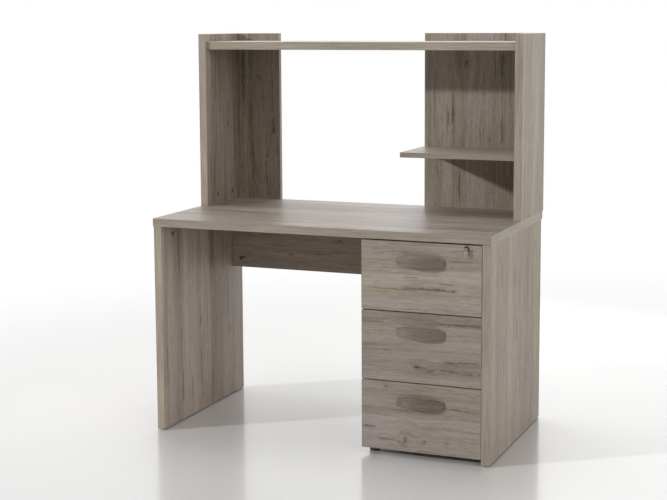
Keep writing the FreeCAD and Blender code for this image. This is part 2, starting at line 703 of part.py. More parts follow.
# ------------------------------------------------------------------ drawers
def drawer(level):
    """A drawer: its front, a box of four boards and a sheet, its rails, handle and screws."""
    name = f"{level}_drawer"
    bottom = front_bottom(level)
    box_bottom = f"({bottom} + box_lift)"
    depth = f"({BOX_REAR} - {FRONT_BACK})"
    inner = f"({BOX_RIGHT} - {BOX_LEFT} - 2*box_board)"
    board(f"{name}_front", (PEDESTAL_LEFT, PANEL_FRONT, bottom),
          ("pedestal_width - front_side_gap", "thin_board", FRONT_HEIGHT))
    sheet_bottom = f"({box_bottom} + bottom_lift)"
    sheet_top = f"({sheet_bottom} + bottom_sheet)"
    for side, x, face in (("left", BOX_LEFT, "+x"), ("right", f"({BOX_RIGHT} - box_board)", "-x")):
        board(f"{name}_{side}_side", (x, FRONT_BACK, box_bottom), ("box_board", depth, BOX_HEIGHT))
        groove(f"{name}_{side}_side", face, (f"{FRONT_BACK} - cut_margin", f"{sheet_bottom} - groove_play"),
               (f"{BOX_REAR} + cut_margin", f"{sheet_top} + groove_play"), "groove_depth")
    tongue = "(groove_depth - groove_play)"
    sheet_corner = (f"({BOX_LEFT} + box_board - {tongue})", f"({FRONT_BACK} + groove_play)", sheet_bottom)
    sheet_extent = (f"({inner} + 2*{tongue})", f"({depth} - groove_play)", "bottom_sheet")
    board(f"{name}_bottom", sheet_corner, sheet_extent, lipped=False)
    back_corner = (f"({BOX_LEFT} + box_board)", f"({BOX_REAR} - box_board)", f"({sheet_top} + groove_play)")
    back_height = f"({BOX_HEIGHT} - bottom_lift - bottom_sheet - groove_play)"
    board(f"{name}_back", back_corner, (inner, "box_board", back_height))
    for side in HANDS:
        rail(level, side)
    handle(name, f"({bottom} + {FRONT_HEIGHT} - handle_drop)")


def handle_plan(sketch):
    """The bow seen from above: square ends and a mouth for the fingers."""
    half, end, mouth = "(handle_length/2)", "handle_end", "(handle_opening/2)"
    rise, sag = "(handle_reach - handle_end)", "(handle_reach - handle_thickness)"
    corners = [(f"-{half}", "0"), (f"-{half}", f"-{end}"), (half, f"-{end}"), (half, "0"),
               (mouth, "0"), (f"-{mouth}", "0")]
    outer_centre = f"(({half}^2 + {rise}^2)/(2*{rise}) - handle_reach)"
    inner_centre = f"(({mouth}^2 + {sag}^2)/(2*{sag}) - {sag})"
    draw_outline(sketch, corners, {1: ("0", "-handle_reach", outer_centre),
                                   4: ("0", f"-{sag}", inner_centre)})


def handle_face(sketch):
    """The bow seen from the front: an arched upper edge and a fuller lower one."""
    half, side = "(handle_length/2)", "(handle_height/2)"
    top, low = f"({side} + handle_arch)", f"({side} + handle_belly)"
    top_centre = f"({top} - ({half}^2 + handle_arch^2)/(2*handle_arch))"
    low_centre = f"(({half}^2 + handle_belly^2)/(2*handle_belly) - {low})"
    corners = [(f"-{half}", f"-{side}"), (half, f"-{side}"), (half, side), (f"-{half}", side)]
    draw_outline(sketch, corners, {0: ("0", f"-{low}", low_centre), 2: ("0", top, top_centre)})


def handle(name, z):
    """A bow handle, held by two screws through the drawer front."""
    body = new_body(f"{name}_handle", FRONT_MIDDLE, PANEL_FRONT, z)
    plan = new_sketch(body, "XY_Plane")
    handle_plan(plan)
    pad(body, plan, "(handle_height + 2*handle_arch + 2*handle_belly)", midplane=True)
    waste = new_sketch(body, "XZ_Plane")
    draw_rectangle(waste, "-handle_length", "-handle_length", "handle_length", "handle_length")
    handle_face(waste)
    bow = pocket(body, waste, "2*handle_reach", midplane=True)
    round_edges(body, bow, "handle_round", lambda edge: edge.BoundBox.YMin < -0.5)
    holes = new_sketch(body, "XZ_Plane")
    screws = []
    for way in "-+":
        draw_circle(holes, f"0 {way} screw_centres/2", "0", "screw_width + 2*screw_play")
        point = (f"({FRONT_MIDDLE} {way} screw_centres/2)", FRONT_BACK, z)
        bore(f"{name}_front", "+y", point, "screw_width + 2*screw_play")
        screws.append((point, "-y"))
    pocket(body, holes, "screw_bite + screw_play", backwards=True)
    group(f"{name}_handle_screws", handle_screw, screws)


# ------------------------------------------------------------------ lock and key
def lock():
    """The top drawer's lock. Its lever turns up behind a strike under the worktop."""
    hole = "(plug_width/2 + plug_play)"
    length = f"({CASE_REAR} - {PANEL_FRONT} + rosette)"
    turned("lock_case", [(hole, "0"), ("rosette_width/2", "0"), ("rosette_width/2", "rosette"),
                         ("case_width/2", "rosette"), ("case_width/2", length), (hole, length)],
           LOCK_X, f"({PANEL_FRONT} - rosette)", LOCK_Z, "+y")
    bore("top_drawer_front", "-y", (LOCK_X, PANEL_FRONT, LOCK_Z), "case_width + 2*case_play")

    shoulder = f"({CASE_REAR} - {PLUG_FRONT})"
    head = f"({shoulder} + 2*lever_play + lever_steel)"
    tip = f"({head} + tail_head)"
    plug = turned("lock_plug", [("0", "0"), ("plug_width/2", "0"), ("plug_width/2", shoulder),
                                ("tail_width/2", shoulder), ("tail_width/2", head),
                                ("tail_head_width/2", head), ("tail_head_width/2", tip), ("0", tip)],
                  LOCK_X, PLUG_FRONT, LOCK_Z, "+y")
    slot = new_sketch(plug, "XY_Plane")
    half_width, half_steel = "(blade_width/2 + key_play)", "(blade_steel/2 + key_play)"
    draw_rectangle(slot, f"-{half_width}", f"-{half_steel}", half_width, half_steel)
    pocket(plug, slot, "blade_bite + key_play", backwards=True)

    lever = new_body("lock_lever", LOCK_X, LEVER_FRONT, LOCK_Z)
    hub = new_sketch(lever, "XZ_Plane")
    draw_circle(hub, "0", "0", "lever_hub_width")
    pad(lever, hub, "lever_steel", backwards=True)
    arm = new_sketch(lever, "XZ_Plane")
    draw_rectangle(arm, "-lever_reach", "-lever_width/2", "0", "lever_width/2")
    pad(lever, arm, "lever_steel", backwards=True)
    eye = new_sketch(lever, "XZ_Plane")
    draw_circle(eye, "0", "0", "tail_width + 2*plug_play")
    pocket(lever, eye)

    drop = f"({UNDERSIDE} - {LOCK_Z} - case_width/2 - strike_clearance)"
    tail = "(strike_steel - strike_flange)"
    strike = new_body("lock_strike", LOCK_X, f"({FRONT_BACK} + strike_gap)", UNDERSIDE)
    angle = new_sketch(strike, "YZ_Plane")
    draw_outline(angle, [("strike_steel", "0"), ("strike_steel", f"-{drop}"), ("0", f"-{drop}"),
                         ("0", "-strike_steel"), (tail, "-strike_steel"), (tail, "0")])
    pad(strike, angle, "strike_length", midplane=True)


def key():
    """The key: a flat blade with an eye, in the lock."""
    half_neck, half_blade = "(knuckle_length/2)", "(blade_width/2)"
    neck, tip = "(knuckle_width/2 + 2*knuckle_play)", "(key_reach + blade_bite)"
    body = new_body("key_blade", LOCK_X, HINGE_Y, LOCK_Z)
    outline = new_sketch(body, "XY_Plane")
    right_half = [(half_neck, "0"), (half_neck, neck), (half_blade, neck), (half_blade, tip)]
    draw_outline(outline, right_half + [(f"-{u}", v) for u, v in reversed(right_half)])
    pad(body, outline, "blade_steel", midplane=True)
    for width, feature, length in (("knuckle_width", pad, "knuckle_length"),
                                   ("hinge_pin + 2*plug_play", pocket, "2*knuckle_length")):
        circle = new_sketch(body, "YZ_Plane")
        draw_circle(circle, "0", "0", width)
        feature(body, circle, length, midplane=True)


def key_bow():
    """The key's grip, which hangs from the blade on a pin and folds up."""
    side, end = "(bow_width/2)", "-bow_length"
    inside, crotch = "(knuckle_length/2 + knuckle_play)", "-(knuckle_width/2 + knuckle_play)"
    body = new_body("key_bow", LOCK_X, HINGE_Y, LOCK_Z)
    outline = new_sketch(body, "XZ_Plane")
    right_half = [(side, end), (side, "0"), (inside, "0"), (inside, crotch)]
    draw_outline(outline, right_half + [(f"-{u}", v) for u, v in reversed(right_half)])
    plate = pad(body, outline, "bow_steel", midplane=True)
    lowest = number(end)
    round_edges(body, plate, "bow_width/3",
                lambda edge: edge.BoundBox.ZMax < lowest/2 and edge.BoundBox.XLength < number("bow_steel"))
    knuckles = new_sketch(body, "YZ_Plane")
    draw_circle(knuckles, "0", "0", "knuckle_width")
    pad(body, knuckles, "bow_width", midplane=True)
    gap = new_sketch(body, "XZ_Plane")
    draw_rectangle(gap, f"-{inside}", crotch, inside, f"-({crotch})")
    pocket(body, gap, "2*knuckle_width", midplane=True)
    pin = new_sketch(body, "YZ_Plane")
    draw_circle(pin, "0", "0", "hinge_pin")
    pad(body, pin, "bow_width", midplane=True)
    hole = new_sketch(body, "XZ_Plane")
    draw_circle(hole, "0", f"{end} + bow_hole_inset", "bow_hole")
    pocket(body, hole, "2*bow_steel", midplane=True)


# ------------------------------------------------------------------ the whole desk
def build():
    desk_boards()
    pedestal_boards()
    hutch_boards()
    desk_joints()
    hutch_joints()
    feet()
    for level in LEVELS:
        drawer(level)
        together(f"{level}_channels", [channel(level, side) for side in HANDS])
        rollers(f"{level}_channel_rollers", level, f"({RUNNER_FRONT} + roller_inset)", FRONT_ROLLER_Z)
        rollers(f"{level}_drawer_rollers", level, f"({RUNNER_REAR} - roller_inset)", REAR_ROLLER_Z)
    lock()
    key()
    key_bow()
    drill_boards()
    for kind, make in (("cam", cam), ("bolt", bolt), ("dowel", dowel)):
        group({"cam": "cam_fittings", "bolt": "cam_bolts", "dowel": "dowels"}[kind], make, FITTINGS[kind])
    doc.recompute()


def check():
    """Stops if an object failed or a piece isn't a sound solid."""
    for item in doc.Objects:
        if "Invalid" in item.State or "Error" in item.State:
            raise RuntimeError(f"{item.Name} failed: {item.State}")
    for label, node in NODES.items():
        if node.Shape.isNull() or not node.Shape.isValid() or not node.Shape.Solids:
            raise RuntimeError(f"{label} isn't a sound solid")


build()
check()
os.makedirs("parts", exist_ok=True)
for label, node in NODES.items():
    node.Shape.exportStep(f"parts/{label}.step")
print(len(NODES), "nodes")
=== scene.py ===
import math

import bmesh
import bpy
from mathutils import Matrix, Vector


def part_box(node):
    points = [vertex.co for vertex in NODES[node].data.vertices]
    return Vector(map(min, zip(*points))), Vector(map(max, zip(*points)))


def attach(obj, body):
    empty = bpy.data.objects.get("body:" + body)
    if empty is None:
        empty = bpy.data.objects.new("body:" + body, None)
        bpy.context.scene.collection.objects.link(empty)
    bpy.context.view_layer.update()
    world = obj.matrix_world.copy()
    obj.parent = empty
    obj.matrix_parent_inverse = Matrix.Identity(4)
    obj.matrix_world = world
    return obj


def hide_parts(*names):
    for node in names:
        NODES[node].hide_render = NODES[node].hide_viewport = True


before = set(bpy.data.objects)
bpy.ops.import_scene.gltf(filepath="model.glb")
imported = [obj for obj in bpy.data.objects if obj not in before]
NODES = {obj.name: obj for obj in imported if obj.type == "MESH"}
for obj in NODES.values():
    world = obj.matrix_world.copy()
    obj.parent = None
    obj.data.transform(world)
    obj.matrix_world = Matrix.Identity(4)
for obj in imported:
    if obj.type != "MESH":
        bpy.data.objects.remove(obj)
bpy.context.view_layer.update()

# Student desk with a hutch in weathered-oak decor. The boards, drawers and runners are the frame's own
# pieces and get their finishes here. The small hardware that shows up close is modelled further down: it
# takes the place of the frame's plainer pieces, apart from the back sheet's nails, which are extra.
# Everything is in metres: +X to the right, +Y to the wall, +Z up.

scene = bpy.context.scene
LEVELS = ("bottom", "middle", "top")
SIDES = ("left", "right")
AXES = "xyz"


# ------------------------------------------------------------------ camera
CAMERA_PLACE = Vector((1.8499, -4.6579, 1.4270))
CAMERA_YAW = math.radians(22.300)
CAMERA_PITCH = math.radians(7.299)
CAMERA_ROLL = math.radians(-0.294)
CAMERA_LENS = 78.06
CAMERA_SHIFT = -0.0675


def set_camera():
    """A long lens in front of the desk and to its right, just above the hutch."""
    forward = Vector((-math.sin(CAMERA_YAW)*math.cos(CAMERA_PITCH),
                      math.cos(CAMERA_YAW)*math.cos(CAMERA_PITCH), -math.sin(CAMERA_PITCH)))
    level = Vector((math.cos(CAMERA_YAW), math.sin(CAMERA_YAW), 0))
    upright = level.cross(forward)
    right = math.cos(CAMERA_ROLL)*level + math.sin(CAMERA_ROLL)*upright
    up = -math.sin(CAMERA_ROLL)*level + math.cos(CAMERA_ROLL)*upright
    turn = Matrix((right, up, -forward)).transposed().to_4x4()
    bpy.ops.object.camera_add()
    camera = bpy.context.object
    camera.name = "camera"
    camera.matrix_world = Matrix.Translation(CAMERA_PLACE) @ turn
    camera.data.lens = CAMERA_LENS
    camera.data.shift_y = CAMERA_SHIFT
    scene.camera = camera


# ------------------------------------------------------------------ node trees
class Recipe:
    """A node tree, with short ways to add what a finish is made of."""

    def __init__(self, tree):
        self.tree = tree

    def add(self, kind, inputs=None, **settings):
        """A node. An input is a plain value or another node's output."""
        made = self.tree.nodes.new(kind)
        for name, value in settings.items():
            setattr(made, name, value)
        for key, value in (inputs or {}).items():
            if isinstance(value, bpy.types.NodeSocket):
                self.tree.links.new(value, made.inputs[key])
            else:
                made.inputs[key].default_value = value
        return made

    def send(self, sockets, **outputs):
        """Links outputs to sockets by name, where _ stands for a space."""
        for name, output in outputs.items():
            self.tree.links.new(output, sockets[name.replace("_", " ")])

    def math(self, operation, *values):
        return self.add("ShaderNodeMath", dict(enumerate(values)), operation=operation).outputs[0]

    def times(self, first, second):
        return self.math("MULTIPLY", first, second)

    def vector(self, operation, *values):
        made = self.add("ShaderNodeVectorMath", dict(enumerate(values)), operation=operation)
        return made.outputs["Value" if operation == "LENGTH" else "Vector"]

    def scale(self, vector, factor):
        inputs = {0: vector, "Scale": factor}
        return self.add("ShaderNodeVectorMath", inputs, operation="SCALE").outputs[0]

    def parts(self, vector):
        return self.add("ShaderNodeSeparateXYZ", {0: vector}).outputs

    def join(self, x, y, z):
        return self.add("ShaderNodeCombineXYZ", {0: x, 1: y, 2: z}).outputs[0]

    def place(self):
        return self.add("ShaderNodeTexCoord").outputs["Object"]

    def noise(self, where, stretch, detail, roughness=0.5):
        """Noise whose features repeat this many times a metre along each axis."""
        scaled = self.vector("MULTIPLY", where, stretch)
        inputs = {"Vector": scaled, "Scale": 1.0, "Detail": detail, "Roughness": roughness}
        return self.add("ShaderNodeTexNoise", inputs).outputs[0]

    def swing(self, where, stretch, detail, width):
        """Noise that swings to both sides of zero, over this width in all."""
        return self.math("MULTIPLY_ADD", self.noise(where, stretch, detail), width, -width/2)

    def fade(self, value, low, high, to_low=0.0, to_high=1.0):
        """Eases from to_low at low to to_high at high."""
        inputs = {"Value": value, "From Min": low, "From Max": high, "To Min": to_low, "To Max": to_high}
        return self.add("ShaderNodeMapRange", inputs, interpolation_type="SMOOTHSTEP").outputs[0]

    def mix(self, factor, first, second):
        """Blends two colours."""
        inputs = {"Factor": factor, 6: first, 7: second}
        return self.add("ShaderNodeMix", inputs, data_type="RGBA").outputs[2]

    def ramp(self, factor, *stops):
        """A colour ramp through (place, colour) stops."""
        made = self.add("ShaderNodeValToRGB", {0: factor})
        elements = made.color_ramp.elements
        while len(elements) < len(stops):
            elements.new(0.5)
        for element, (place, colour) in zip(elements, stops):
            element.position = place
            element.color = colour
        return made.outputs[0]

    def bump(self, height, distance, strength):
        inputs = {"Height": height, "Distance": distance, "Strength": strength}
        return self.add("ShaderNodeBump", inputs).outputs[0]

    def seen(self):
        """1 where the surface is seen, straight, in a gloss or through glass, and 0 where it is only lit."""
        rays = self.add("ShaderNodeLightPath").outputs
        bounced = self.math("MAXIMUM", rays["Is Glossy Ray"], rays["Is Transmission Ray"])
        return self.math("MAXIMUM", rays["Is Camera Ray"], bounced)


def new_group(name, inputs, outputs):
    """An empty node group. inputs and outputs map a socket's name to its kind."""
    group = bpy.data.node_groups.new(name, "ShaderNodeTree")
    for kind, sockets in (("INPUT", inputs), ("OUTPUT", outputs)):
        for socket, form in sockets.items():
            group.interface.new_socket(socket, in_out=kind, socket_type="NodeSocket" + form)
    recipe = Recipe(group)
    return recipe, recipe.add("NodeGroupInput").outputs, recipe.add("NodeGroupOutput").inputs


def new_material(name, **surface):
    """A material with one Principled surface, whose plain values are set here. Returns its recipe too."""
    material = bpy.data.materials.new(name)
    material.use_nodes = True
    shader = material.node_tree.nodes["Principled BSDF"]
    for socket, value in surface.items():
        shader.inputs[socket.replace("_", " ")].default_value = value
    return material, Recipe(material.node_tree), shader


def grey(level):
    return level, level, level, 1.0


def srgb(red, green, blue):
    """A colour written in screen values from 0 to 255, as the renderer wants it."""
    return *((value/255/12.92 if value <= 10 else ((value/255 + 0.055)/1.055)**2.4)
             for value in (red, green, blue)), 1.0


# ------------------------------------------------------------------ stage and light
FLOOR_SIZE = 60.0
FLOOR_COLOUR = srgb(219, 218, 217)
# the floor turns white between these distances from this point
FLOOR_MIDDLE = (0.45, 0.15, 0.0)
FLOOR_FADES, FLOOR_WHITE = 1.8, 3.4
WHITE = grey(1.0)
ROOM_STRENGTH = 0.05
# name, which way the light travels, strength, and the lamp's width in degrees
SUNS = (("key_lamp", (1.372, 1.0, -0.577), 2.15, 3.0),
        ("side_fill", (-1.0, 0.02, -0.06), 1.35, 25.0),
        ("front_fill", (-0.8, 0.6, -0.35), 0.80, 40.0))
# name, place, the point it looks at, width, height, and power in watts
SOFT_BOXES = (("overhead_box", (-0.5, -0.6, 3.9), (-0.3, 0.0, 0.7), 3.0, 3.0, 66.0),
              ("rear_overhead_box", (-0.6, 1.5, 3.6), (-0.3, 0.0, 0.7), 3.0, 3.0, 87.0),
              ("rear_box", (0.5, 3.8, 1.6), (0.0, 0.0, 0.6), 4.0, 2.5, 14.0))


def stage_floor():
    """A glossy pale studio floor that runs out into white."""
    bpy.ops.mesh.primitive_plane_add(size=FLOOR_SIZE, location=(0, 0, 0))
    floor = bpy.context.object
    floor.name = "studio_floor"
    material, recipe, shader = new_material("studio_floor", Base_Color=FLOOR_COLOUR, Roughness=0.30,
                                            Coat_Weight=1.0, Coat_Roughness=0.12)
    away = recipe.vector("LENGTH", recipe.vector("SUBTRACT", recipe.place(), FLOOR_MIDDLE))
    whiteness = recipe.times(recipe.fade(away, FLOOR_FADES, FLOOR_WHITE), recipe.seen())
    white = recipe.add("ShaderNodeEmission", {"Color": WHITE, "Strength": 1.0}).outputs[0]
    surface = recipe.add("ShaderNodeMixShader", {0: whiteness, 1: shader.outputs[0], 2: white}).outputs[0]
    recipe.send(recipe.tree.nodes["Material Output"].inputs, Surface=surface)
    floor.data.materials.append(material)


def light_room():
    """An even white room, and plain white where it is seen."""
    world = bpy.data.worlds.new("studio")
    world.use_nodes = True
    scene.world = world
    recipe = Recipe(world.node_tree)
    room, white = (recipe.add("ShaderNodeBackground", {"Color": WHITE, "Strength": strength}).outputs[0]
                   for strength in (ROOM_STRENGTH, 1.0))
    both = recipe.add("ShaderNodeMixShader", {0: recipe.seen(), 1: room, 2: white}).outputs[0]
    recipe.send(world.node_tree.nodes["World Output"].inputs, Surface=both)


def aim(lamp, name, travel):
    """Names a lamp and turns it so that its light travels one way."""
    lamp.name = name
    lamp.rotation_euler = travel.to_track_quat("-Z", "Y").to_euler()


def light_lamps():
    for name, travel, strength, softness in SUNS:
        bpy.ops.object.light_add(type="SUN")
        lamp = bpy.context.object
        lamp.data.energy = strength
        lamp.data.angle = math.radians(softness)
        aim(lamp, name, Vector(travel))
    for name, place, target, width, height, power in SOFT_BOXES:
        bpy.ops.object.light_add(type="AREA", location=place)
        lamp = bpy.context.object
        lamp.data.shape = "RECTANGLE"
        lamp.data.size = width
        lamp.data.size_y = height
        lamp.data.energy = power
        aim(lamp, name, Vector(target) - Vector(place))


# ------------------------------------------------------------------ weathered oak
# from the dark late wood to the palest early wood, by the level of the figure
GRAIN_COLOURS = ((0.28, srgb(98, 88, 80)), (0.42, srgb(130, 120, 110)), (0.54, srgb(150, 140, 130)),
                 (0.72, srgb(172, 162, 152)))
STRAW, ASH = srgb(148, 137, 121), srgb(150, 142, 138)
# broad bands, streaks, short mottle and fibres: each one's share of the figure, and how often it repeats
# a metre along the grain, across it and into the board
FIGURE = ((0.30, (1.0, 20.0, 20.0)), (0.28, (4.5, 95.0, 95.0)), (0.26, (30.0, 210.0, 210.0)),
          (0.16, (80.0, 800.0, 800.0)))
FIGURE_LEVEL = 0.5
STAVES_PER_METRE = 8.5
STAVE_UNEVENNESS = 0.8
STAVE_BOW, GRAIN_WANDER, GRAIN_RIPPLE = 0.03, 0.060, 0.010
DARKEST_STAVE, PALEST_STAVE = 0.86, 1.10
YELLOWER_STAVE, GREYER_STAVE = (1.006, 1.0, 0.970, 1.0), (0.996, 0.986, 1.025, 1.0)
CHECK_STRENGTH, CHECK_COLOUR = 0.55, srgb(76, 68, 62)
PORE_STRENGTH, PORE_COLOUR = 0.40, srgb(90, 80, 72)
JOINT_STRENGTH, JOINT_COLOUR = 0.45, srgb(84, 76, 70)
RING_STRENGTH, RING_COLOUR = 0.26, srgb(92, 80, 72)
HEART_STRENGTH, HEART_COLOUR = 0.72, srgb(56, 47, 42)
FAINT_HEART = 0.50
CRACK_STRENGTH, CRACK_COLOUR = 0.74, srgb(68, 60, 57)
DARK_LIPPING, PALE_LIPPING = srgb(136, 124, 111), srgb(168, 157, 143)
LIPPING_WIDTH, LIPPING_BLUR = 0.0018, 0.0002
RELIEF_DEPTH, RELIEF_STRENGTH = 0.00015, 0.6


def oak_group():
    """Weathered oak. The vector runs along the grain, across it and into the board, in metres."""
    recipe, given, out = new_group("weathered_oak",
                                   {"Vector": "Vector", "Contrast": "Float", "Tint": "Vector"},
                                   {"Color": "Color", "Height": "Float", "Roughness": "Float"})
    where = given["Vector"]
    along, across, deep = recipe.parts(where)
    # staves glued side by side, each with its own cut, tone and hue
    bowed = recipe.math("ADD", across, recipe.swing(where, (1.2, 1.0, 1.0), 0.0, STAVE_BOW))
    stave = {"W": bowed, "Scale": STAVES_PER_METRE, "Randomness": STAVE_UNEVENNESS}
    cell, seam = (recipe.add("ShaderNodeTexVoronoi", stave, voronoi_dimensions="1D", feature=feature).outputs
                  for feature in ("F1", "DISTANCE_TO_EDGE"))
    tone, shift, hue = recipe.parts(cell["Color"])
    # the grain wanders
    wander = recipe.swing(where, (0.9, 4.0, 4.0), 1.0, GRAIN_WANDER)
    ripple = recipe.swing(where, (5.0, 22.0, 22.0), 1.0, GRAIN_RIPPLE)
    bent = recipe.math("ADD", across, recipe.math("ADD", wander, ripple))
    cut = recipe.join(recipe.math("MULTIPLY_ADD", shift, 3.0, along), bent,
                      recipe.math("MULTIPLY_ADD", shift, 5.0, deep))
    figure = 0.0
    for share, stretch in FIGURE:
        figure = recipe.math("MULTIPLY_ADD", recipe.noise(cut, stretch, 2.0, 0.6), share, figure)
    cloud = recipe.noise(cut, (2.2, 9.0, 9.0), 2.0)
    lifted = recipe.math("MULTIPLY_ADD", recipe.math("SUBTRACT", figure, FIGURE_LEVEL), given["Contrast"],
                         FIGURE_LEVEL)
    body = recipe.ramp(lifted, *GRAIN_COLOURS)
    body = recipe.mix(recipe.fade(cloud, 0.38, 0.70, 0.0, 0.35), body, STRAW)
    body = recipe.mix(recipe.fade(cloud, 0.50, 0.30, 0.0, 0.40), body, ASH)
    # fine broken checks, rows of pores in the early wood, and seams that show here and there
    check = recipe.times(recipe.fade(recipe.noise(cut, (2.6, 60.0, 60.0), 1.5, 0.45), 0.63, 0.72),
                         recipe.fade(recipe.noise(cut, (26.0, 110.0, 110.0), 2.0), 0.42, 0.60))
    pore = recipe.times(recipe.fade(recipe.noise(cut, (40.0, 520.0, 520.0), 1.0), 0.60, 0.70),
                        recipe.fade(cloud, 0.40, 0.62))
    joint = recipe.times(recipe.fade(seam["Distance"], 0.012, 0.003),
                         recipe.fade(recipe.noise(where, (5.0, 20.0, 20.0), 1.0), 0.42, 0.60))
    for mask, strength, colour in ((check, CHECK_STRENGTH, CHECK_COLOUR), (pore, PORE_STRENGTH, PORE_COLOUR),
                                   (joint, JOINT_STRENGTH, JOINT_COLOUR)):
        body = recipe.mix(recipe.times(mask, strength), body, colour)
    body = recipe.scale(body, recipe.fade(tone, 0.0, 1.0, DARKEST_STAVE, PALEST_STAVE))
    stave_hue = recipe.mix(recipe.fade(hue, 0.35, 0.65), YELLOWER_STAVE, GREYER_STAVE)
    body = recipe.vector("MULTIPLY", recipe.vector("MULTIPLY", body, stave_hue), given["Tint"])
    hollow = recipe.math("ADD", check, recipe.math("MULTIPLY_ADD", pore, 0.5, joint))
    height = recipe.math("SUBTRACT", recipe.times(figure, 0.8), hollow)
    recipe.send(out, Color=body, Height=height, Roughness=recipe.fade(figure, 0.3, 0.7, 0.34, 0.44))
    return recipe.tree


def knot_group():
    """A knot. Gives how dark its heart and rings are, and where the grain it pushes aside came from."""
    recipe, given, out = new_group("oak_knot", {"Vector": "Vector", "Centre": "Vector", "Size": "Vector"},
                                   {"Heart": "Float", "Ring": "Float", "Vector": "Vector"})
    where = given["Vector"]
    flat = recipe.vector("MULTIPLY", recipe.vector("SUBTRACT", where, given["Centre"]), (1.0, 1.0, 0.0))
    reach = recipe.math("ADD", recipe.vector("LENGTH", recipe.vector("DIVIDE", flat, given["Size"])),
                        recipe.swing(where, (70.0, 190.0, 190.0), 2.0, 1.0))
    waves = recipe.math("SINE", recipe.times(reach, 6.0))
    ring = recipe.times(recipe.fade(waves, 0.0, 0.9), recipe.fade(reach, 3.4, 1.0))
    sideways = recipe.vector("MULTIPLY", flat, (0.0, 1.0, 0.0))
    pulled = recipe.scale(sideways, recipe.fade(reach, 6.0, 0.0, 0.0, 0.80))
    recipe.send(out, Heart=recipe.fade(reach, 1.10, 0.35), Ring=ring,
                Vector=recipe.vector("SUBTRACT", where, pulled))
    return recipe.tree


def crack_group():
    """A single long crack along the grain, from its start, with the grain darker on both sides of it."""
    recipe, given, out = new_group("oak_crack", {"Vector": "Vector", "Start": "Vector", "Length": "Float",
                                                 "Width": "Float"}, {"Mask": "Float"})
    where = given["Vector"]
    along, across, _ = recipe.parts(recipe.vector("SUBTRACT", where, given["Start"]))
    share = recipe.math("DIVIDE", along, given["Length"])
    ends = recipe.times(recipe.fade(share, 0.0, 0.3), recipe.fade(share, 1.0, 0.75))
    sway = recipe.swing(where, (12.0, 0.0, 0.0), 2.0, 0.012)
    gap = recipe.math("ABSOLUTE", recipe.math("ADD", across, sway))
    grit = recipe.noise(where, (70.0, 300.0, 300.0), 2.0)
    width = recipe.times(given["Width"], recipe.fade(grit, 0.3, 0.7, 0.3, 1.5))
    spread = recipe.math("DIVIDE", gap, width)
    line = recipe.math("MAXIMUM", recipe.fade(spread, 1.1, 0.3), recipe.fade(spread, 4.5, 0.5, 0.0, 0.35))
    recipe.send(out, Mask=recipe.times(line, ends))
    return recipe.tree


OAK, KNOT, CRACK = oak_group(), knot_group(), crack_group()


def tint(tone, warmth_and_bounce):
    """A multiplier that lightens or darkens a finish and takes some of its blue away; the warmth is partly
    the decor's own hue and partly painted warm bounce light on boards that stand in shade.
    """
    return tone, tone*(1.0 - 0.4*warmth_and_bounce), tone*(1.0 - warmth_and_bounce)


def oak(recipe, where, contrast, tone, warmth_and_bounce):
    inputs = {"Vector": where, "Contrast": contrast, "Tint": tint(tone, warmth_and_bounce)}
    return recipe.add("ShaderNodeGroup", inputs, node_tree=OAK).outputs


def knots_and_cracks(recipe, where, knots, cracks, heart):
    """The grain's vector once the knots have pushed it aside, and each mark's mask, strength and colour."""
    wood = where
    marks = []
    for along, across, length, width in knots:
        inputs = {"Vector": wood, "Centre": (along, across, 0.0), "Size": (length/2, width/2, 1.0)}
        knot = recipe.add("ShaderNodeGroup", inputs, node_tree=KNOT).outputs
        marks += [(knot["Ring"], RING_STRENGTH, RING_COLOUR), (knot["Heart"], heart, HEART_COLOUR)]
        wood = knot["Vector"]
    for along, across, length, width in cracks:
        inputs = {"Vector": where, "Start": (along, across, 0.0), "Length": length, "Width": width}
        crack = recipe.add("ShaderNodeGroup", inputs, node_tree=CRACK).outputs
        marks.append((crack["Mask"], CRACK_STRENGTH, CRACK_COLOUR))
    return wood, marks


def lipping_on(recipe, node, order, place, normal, strip, tone):
    """Where the lipping shows, on the edges and as a hairline around the faces, and its colour. A tone below
    1 darkens it partly as painted shade, standing for the shade in the gaps between the drawer fronts and
    under the worktop's front edge.
    """
    low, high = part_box(node)
    insets = [recipe.math("MINIMUM", recipe.math("SUBTRACT", place[index], low[index]),
                          recipe.math("SUBTRACT", high[index], place[index])) for index in order[:2]]
    rim = recipe.fade(recipe.math("MINIMUM", *insets), LIPPING_WIDTH, LIPPING_WIDTH - LIPPING_BLUR)
    on_edge = recipe.fade(recipe.math("ABSOLUTE", normal[order[2]]), 0.75, 0.65)
    grain = recipe.math("MULTIPLY_ADD", recipe.noise(strip, (9.0, 9.0, 260.0), 3.0, 0.6), 0.6,
                        recipe.times(recipe.noise(strip, (3.0, 3.0, 30.0), 2.0), 0.4))
    dark, pale = (tuple(tone*part for part in colour[:3]) + (1.0,) for colour in (DARK_LIPPING, PALE_LIPPING))
    return recipe.math("MAXIMUM", rim, on_edge), recipe.ramp(grain, (0.34, dark), (0.66, pale))
